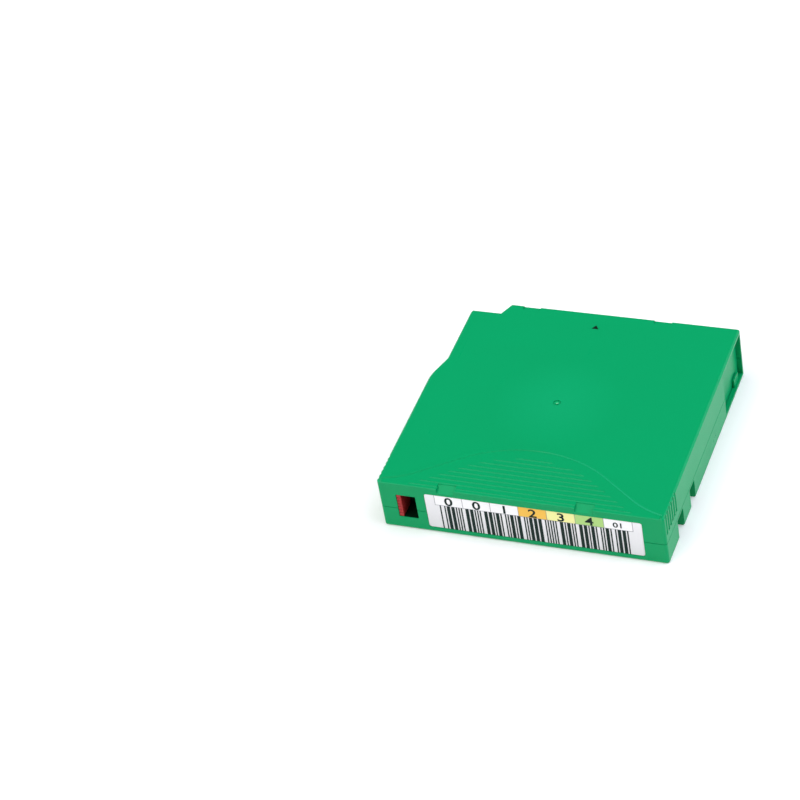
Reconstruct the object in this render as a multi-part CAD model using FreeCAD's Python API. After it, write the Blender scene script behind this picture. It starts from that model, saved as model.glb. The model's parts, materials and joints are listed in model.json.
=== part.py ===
"""Half-inch data tape cartridge: a two-part moulded case round one reel of tape.

Millimetres, +Z up.  The origin is the middle of the underside.  The label face looks
to -Y, the edge that enters the drive first to +Y, and the sliding door is on +X.
"""
import FreeCAD, Part
import math
import os

V = FreeCAD.Vector

# ---------------------------------------------------------------- case
CASE_W = 105.4            # across, label face to the left and right
CASE_L = 102.0            # label face to leading edge
CASE_H = 21.5             # thickness
WALL = 1.6                # side walls
PLATE = 1.5               # top and bottom plates
SEAM_Z = 9.4              # where the two shells meet
CORNER_R = 1.0            # upright corners
EDGE_BEVEL = 0.6          # edges of both plates
SEAM_GROOVE_H = 0.25      # fine groove round the bottom shell where they meet
SEAM_GROOVE_D = 0.4
LIP_W = 0.7               # tongue of the top shell inside the bottom shell's wall
LIP_H = 1.0
LIP_GAP = 0.1
CLEARANCE = 0.25          # between parts that slide past each other
SEAT_GAP = 0.15           # between a loose part and what it rests on

# left side and leading corner, which keep the case from going in the wrong way round
SIDE_INSET = 3.3          # the front of the left side stands back by this much
RAMP_START = 55.7         # from the label face to the start of the ramp
RAMP_ANGLE = 18.0         # degrees from the side
RAMP_R = 16.0
STEP_BACK = 5.6           # leading left corner, set back
STEP_W = 14.8             # its width
STEP_RUN = 2.6            # run of the slant that joins it to the leading edge

# ---------------------------------------------------------------- outside of the case
LABEL_FROM_LEFT = 17.4
LABEL_FROM_RIGHT = 8.4
LABEL_FROM_BOTTOM = 2.4
LABEL_FROM_TOP = 3.6
LABEL_R = 0.9
LABEL_T = 0.15
LABEL_RECESS = 0.3
LABEL_MARGIN = 0.15

REST_REACH = 25.3         # finger rest in the top, from the label face to its crown
REST_RIM_DEPTH = 0.2      # at its crown
REST_DEPTH = 0.4          # at the label face
REST_CROWN_R = 46.0
REST_TURN = 36.0          # slant of its straight flanks
REST_FLARE_R = 30.0       # the flanks flare out along the label face
REST_END_TURN = 14.0      # slant where the flare ends
REST_TIP_INSET = 2.7      # from the case's sides to that end
REST_MARGIN = 1.2         # to the case's sides
RIDGE_INSET = 4.6         # from the rest's outline to the ends of the ridges
RIDGE_PITCH = 2.1
RIDGE_W = 0.6
RIDGE_H = 0.22
RIDGE_FIRST = 1.4         # from the label face to the first ridge
NIP_W = 6.8               # shallow recesses on the top's front and back edges
NIP_SPACING = 50.8
NIP_BACK_RUN = 3.0
NIP_BACK_DEPTH = 0.6      # the ones over the label are ramps, this deep at their inner end
NIP_MOUTH_DEPTH = 2.3     # and this deep at the label face
NIP_SHELF = 1.2           # plastic round them under the top plate
NIP_SHELF_DEPTH = 2.9     # from the top to its underside
NIP_FRONT_RUN = 2.2
NIP_FRONT_DEPTH = 0.9

GRIP_COUNT = 6            # upright finger grooves on both sides
GRIP_PITCH = 2.28
GRIP_START = 2.0          # from the label face
GRIP_R = 0.75
GRIP_DEPTH = 0.5
GRIP_Z = 12.7             # their lower end

ARROW_W = 2.9             # insertion arrow
ARROW_L = 2.1
ARROW_FROM_EDGE = 6.9
ARROW_DEPTH = 0.3
GATE_R = 1.5              # moulding gate over the reel's axis
GATE_DEPTH = 0.35
GATE_NUB_R = 0.55

NOTCH_D = 3.0             # handling notches in both sides of the bottom shell
NOTCH_H = 8.3
NOTCH_WALL = 1.1
REAR_NOTCH_START = 13.1   # from the label face
REAR_NOTCH_W = 6.8
FRONT_NOTCH_START = 28.8
FRONT_NOTCH_W = 5.7

DATUM_R = 1.6             # locating hole and slot in the underside
DATUM_DEPTH = 3.0
DATUM_WALL = 1.0
DATUM_HOLE_FROM_LEFT = 21.2
DATUM_HOLE_FROM_EDGE = 5.0    # from the leading edge
DATUM_SLOT_FROM_RIGHT = 12.7
DATUM_SLOT_FROM_LABEL = 15.0
DATUM_SLOT_L = 5.0

# ---------------------------------------------------------------- screws
SCREW_R = 1.0
SCREW_FIT = 0.05
SCREW_HEAD_R = 1.9
SCREW_HEAD_H = 1.3
SCREW_SUNK = 0.6          # heads lie this far inside the underside
SCREW_IN_TOP = 6.0        # length of thread in the top shell
SCREW_CROSS_W = 0.6
SCREW_CROSS_L = 2.0
SCREW_CROSS_D = 0.8
BOSS_R = 3.0
FRONT_LEFT_SCREW_X = 9.1      # how far in from the nearest sides
FRONT_LEFT_SCREW_Y = 11.4
FRONT_RIGHT_SCREW_X = 22.2
FRONT_RIGHT_SCREW_Y = 4.8
BACK_LEFT_SCREW_X = 11.2
BACK_LEFT_SCREW_Y = 13.6
BACK_RIGHT_SCREW_X = 5.8
BACK_RIGHT_SCREW_Y = 5.8

# ---------------------------------------------------------------- reel
REEL_X = -1.5
REEL_Y = 0.0
REEL_HEADROOM = 2.65      # over the reel, which a drive lifts off its rim
REEL_TO_WALL = 0.9        # least room round the flanges, at the leading and label edges
REEL_TO_SPRING = 0.75     # and at the door's spring
TAPE_GAP = 0.1
PACK_INSET = 2.0          # from the flanges' edge to the outermost turn
FLANGE_T = 1.0
FLANGE_BEVEL = 0.3
HUB_R = 22.0
HUB_WALL = 2.4
HUB_FLOOR_T = 2.0
HUB_FLOOR_RISE = 0.6      # hub floor above the underside of the lower flange
SPIGOT_R = 18.2           # step of the hub that enters the lower flange
SPIGOT_GAP = 0.1
HUB_EYE_R = 4.5           # hole in the middle of the hub floor
WINDOW_R = 18.8           # hole in the bottom shell under the hub
RIM_SETBACK = 0.4         # from the window's edge to the rim that the reel rests on
RIM_W = 1.0
RIM_H = 0.7
REEL_GAP = 0.3            # under the reel, at rest on the rim

TEETH = 60
TOOTH_RI = 14.3
TOOTH_RO = 17.7
TOOTH_ROOT_W = 1.1
TOOTH_CREST_W = 0.35
TOOTH_LAND = 0.2          # flat of the ring past both ends of the teeth
DRIVE_TOOTH_H = 1.1
DRIVE_RING_H = 0.4
LOCK_TOOTH_H = 1.0
LOCK_RING_H = 1.3
CLUTCH_PLATE_T = 0.8
CLUTCH_PLATE_RI = 5.0
CLUTCH_PEG_R = 1.2
CLUTCH_PEG_PLACE_R = 9.6
CLUTCH_PEG_TURN = 60.0    # degrees from a release leg to a peg

LEG_ANGLES = (90.0, 210.0, 330.0)
LEG_W = 5.0
LEG_RI = 14.8
LEG_RO = 17.2
LEG_HOLE_GAP = 0.2
LEG_TIP_GAP = 0.4         # leg tips stand back from the crests of the drive teeth
TOOTH_FREE_ANGLE = 13.0   # no teeth this near a leg
PAD_R = 8.5
PAD_T = 1.0
PAD_BOSS_R = 3.0
PAD_BOSS_H = 0.5
LIFT = 1.8                # travel of the release pad and the brake

BRAKE_R = 18.2
BRAKE_T = 1.4
MESH_GAP = 0.2            # tooth crest to tooth root
STEM_R = 6.0
STEM_H = 6.3
STEM_FLOOR = 1.0
KEY_SPAN = 8.3            # cross-shaped key of the top shell in the brake's stem
KEY_T = 1.6
KEY_GAP = 0.15
KEY_END_GAP = 0.4         # left under the key when the brake is lifted
BRAKE_SPRING_R = 7.2
BRAKE_WIRE_R = 0.4
BRAKE_SPRING_TURNS = 5.0
WIRE_SIDES = 6            # flats round the section of a spring's wire
COIL_SIDES = 14           # straights round one turn of a spring
SPRING_RING_W = 1.0
SPRING_RING_H = 1.2

# ---------------------------------------------------------------- inner walls
ARC_WALL_ROOM = 1.0       # from the flanges to the curved inner walls
ARC_WALL_T = 1.0
ARC_WALL_H = 1.2
ARC_WALL_SPANS = ((118.0, 153.0), (204.0, 246.0), (293.0, 334.0))

# ---------------------------------------------------------------- door
DOORWAY_REAR = 25.0       # from the leading edge back to the rear of the doorway
SILL_REAR = 10.0          # low wall before the closed door, from the leading edge back
SILL_FRONT = 4.8          # from the leading edge to its front
SILL_H = 3.3
SILL_T = 0.7
DOOR_T = 1.3
DOOR_OVERLAP = 4.0        # part of the closed door behind the side wall
DOOR_GROOVE = 0.6
DOOR_LAP_OPEN = 2.0       # part of the doorway that the open door still covers
DOOR_LUG_L = 2.5
DOOR_LUG_W = 1.7
DOOR_LUG_H = 3.6
DOOR_SPRING_R = 1.35
DOOR_WIRE_R = 0.25
DOOR_SPRING_TURNS = 10.0
DOOR_SPRING_Z = 6.4
PEG_R = 0.85
PEG_L = 3.0

# ---------------------------------------------------------------- leader pin
PIN_FROM_SIDE = 8.7
PIN_FROM_EDGE = 11.5
PIN_RISE = 0.75           # lower head above the bottom plate, and the same at the top
PIN_R = 1.2
PIN_HEAD_R = 2.2
PIN_HEAD_T = 1.0
CLIP_R = 2.1
CLIP_END_GAP = 0.35       # from the clip's ends to the pin's heads
CLIP_GAP = 0.05
CLIP_MOUTH = 1.0
CUP_GAP = 0.2
CUP_WALL = 1.0
CUP_LIP = 0.35            # height of the cup past the middle of the pin's head
CUP_ARM = 1.55            # reach of the cup's straight arms past the pin's axis
LEADER_T = 0.15
LEADER_GAP = 0.2
LEAF_T = 0.3
LEAF_H = 1.0
LEAF_ROOT_L = 5.9         # straight root along the front wall
LEAF_BEND_X = 0.6         # from the pin's axis to the bend at the root's end
LEAF_SLANT_X = 0.9        # slanted run from the wall towards the pin's head
LEAF_SLANT_Y = 3.0
LEAF_TOUCH_Y0 = 2.0       # straight run beside the head, either side of the axis
LEAF_TOUCH_Y1 = 0.4
LEAF_TAIL_X = 1.0         # free end, bent outwards
LEAF_TAIL_Y = 2.0
LEAF_CLAMP_L = 2.5
LEAF_CLAMP_T = 0.6

# ---------------------------------------------------------------- write-protect tab
TAB_WINDOW_X = 6.4        # from the left side to the window
TAB_WINDOW_W = 7.4
TAB_WINDOW_FROM_BOTTOM = 5.4
TAB_WINDOW_FROM_TOP = 5.7
TAB_KNOB_W = 1.6
TAB_KNOB_GAP = 0.2
TAB_BODY_D = 5.7
TAB_HIDDEN_W = 4.5        # width of the tab's body left of its knob
TAB_SERRATIONS = 6
TAB_SERRATION_D = 0.3
TAB_RAIL_W = 2.4

# ---------------------------------------------------------------- memory board
BOARD_W = 12.0
BOARD_L = 9.5
BOARD_T = 0.8
BOARD_FROM_RIGHT = 16.0
BOARD_ANGLE = 45.0
BOARD_FROM_WALL = 4.1
BOARD_RISE = 4.1
BOARD_RIB_T = 0.8
CHIP_SIZE = 4.0
CHIP_T = 0.6

# ---------------------------------------------------------------- worked-out places
LEFT = -CASE_W / 2
RIGHT = CASE_W / 2
BACK = -CASE_L / 2
FRONT = CASE_L / 2
ROOF_Z = CASE_H - PLATE
MID_Z = CASE_H / 2
FAR = 5.0                 # how far cutting tools run past what they cut
NEAR = 0.5                # the same where something else lies close behind
ROOT = 0.1                # how far an added part is rooted in what carries it
LEAST_R = 0.05            # radius left at a corner that an inset would close

LABEL_X0 = LEFT + LABEL_FROM_LEFT
LABEL_X1 = RIGHT - LABEL_FROM_RIGHT
LABEL_Z0 = LABEL_FROM_BOTTOM
LABEL_Z1 = CASE_H - LABEL_FROM_TOP

REAR_NOTCH = (BACK + REAR_NOTCH_START, BACK + REAR_NOTCH_START + REAR_NOTCH_W)
FRONT_NOTCH = (BACK + FRONT_NOTCH_START, BACK + FRONT_NOTCH_START + FRONT_NOTCH_W)
DATUM_HOLE = (LEFT + DATUM_HOLE_FROM_LEFT, FRONT - DATUM_HOLE_FROM_EDGE)
DATUM_SLOT = (RIGHT - DATUM_SLOT_FROM_RIGHT, BACK + DATUM_SLOT_FROM_LABEL)
SCREW_PLACES = (
    (LEFT + FRONT_LEFT_SCREW_X, FRONT - FRONT_LEFT_SCREW_Y),
    (RIGHT - FRONT_RIGHT_SCREW_X, FRONT - FRONT_RIGHT_SCREW_Y),
    (LEFT + BACK_LEFT_SCREW_X, BACK + BACK_LEFT_SCREW_Y),
    (RIGHT - BACK_RIGHT_SCREW_X, BACK + BACK_RIGHT_SCREW_Y),
)

DOOR_SPRING_X = RIGHT - WALL - DOOR_SPRING_R - DOOR_WIRE_R - SEAT_GAP
SPRING_SIDE_X = DOOR_SPRING_X - DOOR_SPRING_R - DOOR_WIRE_R
FLANGE_R = min(FRONT - WALL - REEL_TO_WALL, SPRING_SIDE_X - REEL_TO_SPRING - REEL_X)
PACK_R = FLANGE_R - PACK_INSET

REEL_Z = PLATE + RIM_H + REEL_GAP
PACK_Z = REEL_Z + FLANGE_T + TAPE_GAP
UPPER_FLANGE_Z = ROOF_Z - REEL_HEADROOM - FLANGE_T
TAPE_W = UPPER_FLANGE_Z - TAPE_GAP - PACK_Z
HUB_FLOOR_Z = REEL_Z + HUB_FLOOR_RISE
HUB_FLOOR_TOP = HUB_FLOOR_Z + HUB_FLOOR_T
DRIVE_TOOTH_ROOT = HUB_FLOOR_Z - DRIVE_RING_H
DRIVE_TOOTH_TIP = DRIVE_TOOTH_ROOT - DRIVE_TOOTH_H
LOCK_TOOTH_ROOT = HUB_FLOOR_TOP + LOCK_RING_H
BRAKE_Z = LOCK_TOOTH_ROOT + LOCK_TOOTH_H + MESH_GAP
BRAKE_TOP = BRAKE_Z + BRAKE_T
PAD_Z = HUB_FLOOR_TOP + SEAT_GAP
PAD_CROWN_Z = PAD_Z + PAD_T + PAD_BOSS_H
STEM_TOP = BRAKE_TOP + STEM_H
KEY_Z = BRAKE_TOP + STEM_FLOOR + LIFT + KEY_END_GAP
SPRING_RING_R = BRAKE_SPRING_R + BRAKE_WIRE_R + 2 * CLEARANCE

DOORWAY_Y0 = FRONT - DOORWAY_REAR
DOOR_X1 = RIGHT - WALL - CLEARANCE
DOOR_X0 = DOOR_X1 - DOOR_T
DOOR_Y0 = DOORWAY_Y0 - DOOR_OVERLAP
DOOR_Y1 = FRONT - WALL - CLEARANCE
DOOR_Z0 = PLATE - DOOR_GROOVE + SEAT_GAP
DOOR_Z1 = CASE_H - DOOR_Z0
DOOR_TRAVEL = DOORWAY_REAR - DOOR_LAP_OPEN
DOOR_SPRING_SEAT_Y = FRONT_NOTCH[1] + NOTCH_WALL
DOOR_LUG_Y0 = DOOR_Y0 - DOOR_LUG_L / 2

PIN_X = RIGHT - PIN_FROM_SIDE
PIN_Y = FRONT - PIN_FROM_EDGE
PIN_Z0 = PLATE + PIN_RISE
PIN_Z1 = CASE_H - PIN_Z0
CLIP_Z0 = PIN_Z0 + PIN_HEAD_T + CLIP_END_GAP
CLIP_Z1 = PIN_Z1 - PIN_HEAD_T - CLIP_END_GAP
CUP_TOP = PIN_Z0 + PIN_HEAD_T + CUP_LIP

TAB_KNOB_X0 = LEFT + TAB_WINDOW_X + TAB_KNOB_GAP
TAB_KNOB_X1 = TAB_KNOB_X0 + TAB_KNOB_W
TAB_BODY_Y0 = BACK + WALL + SEAT_GAP
TAB_BODY_Y1 = TAB_BODY_Y0 + TAB_BODY_D
TAB_WINDOW_Z0 = TAB_WINDOW_FROM_BOTTOM
TAB_WINDOW_Z1 = CASE_H - TAB_WINDOW_FROM_TOP
TAB_Z0 = TAB_WINDOW_Z0 + CLEARANCE
TAB_Z1 = TAB_WINDOW_Z1 - CLEARANCE
TAB_RAIL_X1 = LEFT + TAB_WINDOW_X + TAB_WINDOW_W

BOARD_X = RIGHT - BOARD_FROM_RIGHT
BOARD_Y = BACK + WALL + BOARD_FROM_WALL
BOARD_Z = PLATE + BOARD_RISE


# ================================================================ helpers
def box(x0, y0, z0, x1, y1, z1):
    """Upright block between two opposite corners."""
    return Part.makeBox(x1 - x0, y1 - y0, z1 - z0, V(x0, y0, z0))


def rod(x, y, z0, z1, radius):
    """Upright cylinder."""
    return Part.makeCylinder(radius, z1 - z0, V(x, y, z0))


def ring(x, y, z0, z1, outer, inner):
    """Upright tube."""
    return rod(x, y, z0, z1, outer).cut(rod(x, y, z0 - FAR, z1 + FAR, inner))


def mirror_z(shape):
    """The same shape turned over about the case's middle height."""
    return shape.mirror(V(0, 0, MID_Z), V(0, 0, 1))


def join(shapes):
    """One solid from touching or crossing shapes."""
    return shapes[0].multiFuse(shapes[1:]).removeSplitter()


def prism(points, z0, z1):
    """Upright block on a plan outline of straight edges."""
    loop = [V(x, y, z0) for x, y in points]
    return Part.Face(Part.makePolygon(loop + loop[:1])).extrude(V(0, 0, z1 - z0))


def slab_x(points, x0, x1):
    """Block along X on a side outline of (y, z) points."""
    loop = [V(x0, y, z) for y, z in points]
    return Part.Face(Part.makePolygon(loop + loop[:1])).extrude(V(x1 - x0, 0, 0))


def revolve(points, x, y):
    """Turned solid about an upright axis from an outline of (radius, z) points."""
    loop = [V(x + r, y, z) for r, z in points]
    face = Part.Face(Part.makePolygon(loop + loop[:1]))
    return face.revolve(V(x, y, 0), V(0, 0, 1), 360)


def unit(ax, ay, bx, by):
    """Unit direction from a to b."""
    length = math.hypot(bx - ax, by - ay)
    return (bx - ax) / length, (by - ay) / length


def rounded_wire(corners, z):
    """Closed plan outline from (x, y, radius) corners, in order anticlockwise."""
    count = len(corners)
    starts = []
    ends = []
    middles = []
    for i, (x, y, radius) in enumerate(corners):
        px, py, _ = corners[i - 1]
        nx, ny, _ = corners[(i + 1) % count]
        ux, uy = unit(x, y, px, py)
        wx, wy = unit(x, y, nx, ny)
        half = math.acos(max(-1.0, min(1.0, ux * wx + uy * wy))) / 2
        run = radius / math.tan(half)
        bx, by = unit(0, 0, ux + wx, uy + wy)
        depth = radius / math.sin(half) - radius
        starts.append(V(x + ux * run, y + uy * run, z))
        ends.append(V(x + wx * run, y + wy * run, z))
        middles.append(V(x + bx * depth, y + by * depth, z))
    edges = []
    for i, corner in enumerate(corners):
        if corner[2] > 0:
            edges.append(Part.Arc(starts[i], middles[i], ends[i]).toShape())
        edges.append(Part.LineSegment(ends[i], starts[(i + 1) % count]).toShape())
    return Part.Wire(edges)


def inset(corners, distance):
    """The same outline moved inwards all round."""
    count = len(corners)
    moved = []
    for i, (x, y, radius) in enumerate(corners):
        px, py, _ = corners[i - 1]
        nx, ny, _ = corners[(i + 1) % count]
        ax, ay = unit(px, py, x, y)
        bx, by = unit(x, y, nx, ny)
        turn = ax * by - ay * bx
        along = distance * (1 - ax * bx - ay * by) / turn
        new_x = x - ay * distance - ax * along
        new_y = y + ax * distance - ay * along
        sign = 1 if turn > 0 else -1
        new_radius = max(radius - sign * distance, LEAST_R) if radius > 0 else 0
        moved.append((new_x, new_y, new_radius))
    return moved


def case_corners():
    """Plan outline of the case."""
    slope = math.radians(RAMP_ANGLE)
    ramp_y = BACK + RAMP_START + RAMP_R * math.tan(slope / 2)
    kink_y = ramp_y + SIDE_INSET / math.tan(slope)
    return [
        (LEFT, BACK, CORNER_R),
        (RIGHT, BACK, CORNER_R),
        (RIGHT, FRONT, CORNER_R),
        (LEFT + STEP_W + STEP_RUN, FRONT, CORNER_R),
        (LEFT + STEP_W, FRONT - STEP_BACK, 0),
        (LEFT + SIDE_INSET, FRONT - STEP_BACK, CORNER_R),
        (LEFT + SIDE_INSET, kink_y, 0),
        (LEFT, ramp_y, RAMP_R),
    ]


def case_block(distance, z0, z1):
    """Solid slice of the case, with its outline moved inwards."""
    face = Part.Face(rounded_wire(inset(case_corners(), distance), z0))
    return face.extrude(V(0, 0, z1 - z0))


def bevelled_edge(bevel, z_face, z_in):
    """Slice of the case between a bevelled face and the full outline."""
    corners = case_corners()
    narrow = rounded_wire(inset(corners, bevel), z_face)
    return Part.makeLoft([narrow, rounded_wire(corners, z_in)], True, True)


def tooth(z_root, height, angle):
    """One radial tooth; a negative height points it down."""
    half_root = TOOTH_ROOT_W / 2
    half_crest = TOOTH_CREST_W / 2
    z_base = z_root - math.copysign(ROOT, height)
    outline = [(-half_root, z_base), (half_root, z_base), (half_root, z_root),
               (half_crest, z_root + height), (-half_crest, z_root + height),
               (-half_root, z_root)]
    solid = slab_x(outline, TOOTH_RI, TOOTH_RO)
    solid.rotate(V(0, 0, 0), V(0, 0, 1), angle)
    solid.translate(V(REEL_X, REEL_Y, 0))
    return solid


def tooth_ring(z0, z1):
    """Ring that carries teeth."""
    return ring(REEL_X, REEL_Y, z0, z1, TOOTH_RO + TOOTH_LAND, TOOTH_RI - TOOTH_LAND)


def near_leg(angle):
    """Whether an angle is too near one of the release legs for a tooth."""
    return any(math.cos(math.radians(angle - leg)) > math.cos(math.radians(TOOTH_FREE_ANGLE))
               for leg in LEG_ANGLES)


def radial_block(angle, r0, r1, width, z0, z1):
    """Block that runs outwards from the reel's axis."""
    block = box(r0, -width / 2, z0, r1, width / 2, z1)
    block.rotate(V(0, 0, 0), V(0, 0, 1), angle)
    block.translate(V(REEL_X, REEL_Y, 0))
    return block


def strip(points, thickness, z0, z1):
    """Upright sheet along a plan path, bent at its points."""
    left = []
    right = []
    last = len(points) - 1
    for i, (x, y) in enumerate(points):
        ax, ay = unit(*points[max(i - 1, 0)], *points[max(i, 1)])
        bx, by = unit(*points[min(i, last - 1)], *points[min(i + 1, last)])
        mx, my = unit(0, 0, ax + bx, ay + by)
        reach = thickness / 2 / (ax * mx + ay * my)
        left.append((x - my * reach, y + mx * reach))
        right.append((x + my * reach, y - mx * reach))
    return prism(left + right[::-1], z0, z1)


def coil(radius, wire_r, turns, length):
    """Open coil spring along +Z, its ends' wire inside the length."""
    count = int(turns * COIL_SIDES)
    rise = (length - 2 * wire_r) / count
    turn = 2 * math.pi / COIL_SIDES
    stations = [V(radius * math.cos(i * turn), radius * math.sin(i * turn), wire_r + i * rise)
                for i in range(count + 1)]
    path = Part.makePolygon(stations)
    out = V(1, 0, 0)
    up = (stations[1] - stations[0]).cross(out).normalize()
    corners = []
    for i in range(WIRE_SIDES):
        angle = 2 * math.pi * i / WIRE_SIDES
        corners.append(stations[0] + out * (wire_r * math.cos(angle)) + up * (wire_r * math.sin(angle)))
    section = Part.makePolygon(corners + corners[:1])
    return path.makePipeShell([section], True, True, 1)


def arc_wall(first, last, z0, z1):
    """Curved inner wall round the reel between two angles."""
    inner = FLANGE_R + ARC_WALL_ROOM
    wall = Part.makeCylinder(inner + ARC_WALL_T, z1 - z0, V(REEL_X, REEL_Y, z0),
                             V(0, 0, 1), last - first)
    wall.rotate(V(REEL_X, REEL_Y, 0), V(0, 0, 1), first)
    return wall.cut(rod(REEL_X, REEL_Y, z0 - FAR, z1 + FAR, inner))


# ================================================================ cuts that both shells share
def label_recess():
    """Shallow rounded recess for the label in the back face."""
    margin = LABEL_MARGIN
    return label_block(LABEL_X0 - margin, LABEL_X1 + margin, LABEL_Z0 - margin,
                       LABEL_Z1 + margin, BACK - FAR, BACK + LABEL_RECESS)


def label_block(x0, x1, z0, z1, y0, y1):
    """Plate in the back face with rounded corners."""
    corners = [(x0, z0, LABEL_R), (x1, z0, LABEL_R), (x1, z1, LABEL_R), (x0, z1, LABEL_R)]
    plate = Part.Face(rounded_wire(corners, 0)).extrude(V(0, 0, y1 - y0))
    plate.rotate(V(0, 0, 0), V(1, 0, 0), 90)
    plate.translate(V(0, y1, 0))
    return plate


def tab_window():
    """Write-protect window through the back wall."""
    x0 = LEFT + TAB_WINDOW_X
    return box(x0, BACK - FAR, TAB_WINDOW_Z0, x0 + TAB_WINDOW_W, BACK + WALL + NEAR,
               TAB_WINDOW_Z1)


def doorway():
    """Opening in the right side for the leader pin, with a low sill by its front corner."""
    opening = box(RIGHT - WALL - LIP_GAP, DOORWAY_Y0, PLATE, RIGHT + FAR, FRONT - WALL, ROOF_Z)
    sill = box(RIGHT - WALL, FRONT - SILL_REAR, PLATE - FAR, RIGHT - WALL + SILL_T,
               FRONT - SILL_FRONT, PLATE + SILL_H)
    return opening.cut(sill)


def door_groove(z0, z1):
    """Groove in a plate for the door's edge."""
    return box(DOOR_X0 - SEAT_GAP, DOOR_Y0 - DOOR_TRAVEL - CLEARANCE, z0,
               DOOR_X1 + SEAT_GAP, FRONT - WALL, z1)


def lip_zone(outer_gap, inner_gap, z0, z1):
    """Band along the inner half of the wall."""
    outer = case_block(WALL - LIP_W - outer_gap, z0, z1)
    return outer.cut(case_block(WALL + inner_gap, z0 - FAR, z1 + FAR))


def pin_cup():
    """Open-sided cup in the bottom shell that holds the lower end of the leader pin."""
    z0 = PLATE
    z1 = CUP_TOP
    inner = PIN_HEAD_R + CUP_GAP
    outer = inner + CUP_WALL
    mouth_x = PIN_X + CUP_ARM
    wall = ring(PIN_X, PIN_Y, z0, z1, outer, inner)
    wall = wall.cut(box(PIN_X, PIN_Y - outer - FAR, z0 - FAR, PIN_X + outer + FAR,
                        PIN_Y + outer + FAR, z1 + FAR))
    sides = [box(PIN_X, PIN_Y + inner, z0, mouth_x, PIN_Y + outer, z1),
             box(PIN_X, PIN_Y - outer, z0, mouth_x, PIN_Y - inner, z1)]
    seat = rod(PIN_X, PIN_Y, z0, PIN_Z0 - SEAT_GAP, PIN_R)
    return [wall, seat] + sides


def leaf_clamp():
    """Rib that holds the root of a leaf spring against the front wall."""
    x0, y0 = leaf_path()[0]
    rib_y1 = y0 - LEAF_T / 2 - SEAT_GAP
    return box(x0, rib_y1 - LEAF_CLAMP_T, PLATE, x0 + LEAF_CLAMP_L, rib_y1, CUP_TOP)


def leaf_path():
    """Plan path of a leaf spring, from its root on the front wall round the pin's head."""
    root_y = FRONT - WALL - SEAT_GAP - LEAF_T / 2
    bend_x = PIN_X - LEAF_BEND_X
    touch_x = PIN_X + PIN_HEAD_R + SEAT_GAP + LEAF_T / 2
    touch_y = PIN_Y - LEAF_TOUCH_Y1
    return [(bend_x - LEAF_ROOT_L, root_y), (bend_x, root_y),
            (touch_x + LEAF_SLANT_X, root_y - LEAF_SLANT_Y), (touch_x, PIN_Y + LEAF_TOUCH_Y0),
            (touch_x, touch_y), (touch_x + LEAF_TAIL_X, touch_y - LEAF_TAIL_Y)]


# ================================================================ case
def notch_pockets():
    """Inner walls that close the handling notches off from the reel."""
    pockets = []
    for y0, y1 in (REAR_NOTCH, FRONT_NOTCH):
        depth = NOTCH_D + NOTCH_WALL
        for x0, x1 in ((RIGHT - depth, RIGHT - WALL), (LEFT + WALL, LEFT + depth)):
            pockets.append(box(x0, y0 - NOTCH_WALL, PLATE, x1, y1 + NOTCH_WALL,
                               NOTCH_H + NOTCH_WALL - LIP_GAP))
    return pockets


def notch_cuts():
    """The handling notches, open to the sides and to the underside."""
    cuts = []
    for y0, y1 in (REAR_NOTCH, FRONT_NOTCH):
        cuts.append(box(RIGHT - NOTCH_D, y0, -FAR, RIGHT + FAR, y1, NOTCH_H))
        cuts.append(box(LEFT - FAR, y0, -FAR, LEFT + NOTCH_D, y1, NOTCH_H))
    return cuts


def datum_boss(place, extra):
    """Capped boss over a locating hole; extra lengthens it along X."""
    x, y = place
    z1 = DATUM_DEPTH + DATUM_WALL
    radius = DATUM_R + DATUM_WALL
    parts = [rod(x - extra / 2, y, PLATE, z1, radius)]
    if extra > 0:
        parts.append(rod(x + extra / 2, y, PLATE, z1, radius))
        parts.append(box(x - extra / 2, y - radius, PLATE, x + extra / 2, y + radius, z1))
    return parts


def datum_cut(place, extra):
    """Blind locating hole or slot in the underside."""
    x, y = place
    parts = [rod(x - extra / 2, y, -FAR, DATUM_DEPTH, DATUM_R)]
    if extra > 0:
        parts.append(rod(x + extra / 2, y, -FAR, DATUM_DEPTH, DATUM_R))
        parts.append(box(x - extra / 2, y - DATUM_R, -FAR, x + extra / 2, y + DATUM_R,
                         DATUM_DEPTH))
    return parts


def tab_rail(z0, z1):
    """Rail over or under the write-protect tab."""
    rail_y = (TAB_BODY_Y0 + TAB_BODY_Y1) / 2
    return box(LEFT + WALL, rail_y - TAB_RAIL_W / 2, z0, TAB_RAIL_X1,
               rail_y + TAB_RAIL_W / 2, z1)


def tab_fence(z0, z1):
    """Rib behind the write-protect tab."""
    y0 = TAB_BODY_Y1 + CLEARANCE
    return box(LEFT + WALL, y0, z0, TAB_RAIL_X1, y0 + WALL / 2, z1)


def board_ribs():
    """Two sloped ribs in the back corner under the memory board."""
    reach = BOARD_T / 2 + SEAT_GAP
    total = BOARD_Y + BOARD_Z - reach * math.sqrt(2)
    wall_y = BACK + WALL
    outline = [(wall_y, PLATE), (total - PLATE, PLATE), (wall_y, total - wall_y)]
    ribs = []
    for side in (-1, 1):
        x = BOARD_X + side * (BOARD_W / 2 - BOARD_RIB_T)
        ribs.append(slab_x(outline, x - BOARD_RIB_T / 2, x + BOARD_RIB_T / 2))
        fence_x = BOARD_X + side * (BOARD_W / 2 + SEAT_GAP + BOARD_RIB_T / 2)
        ribs.append(box(fence_x - BOARD_RIB_T / 2, wall_y, PLATE,
                        fence_x + BOARD_RIB_T / 2, BOARD_Y, BOARD_Z))
    return ribs


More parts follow.
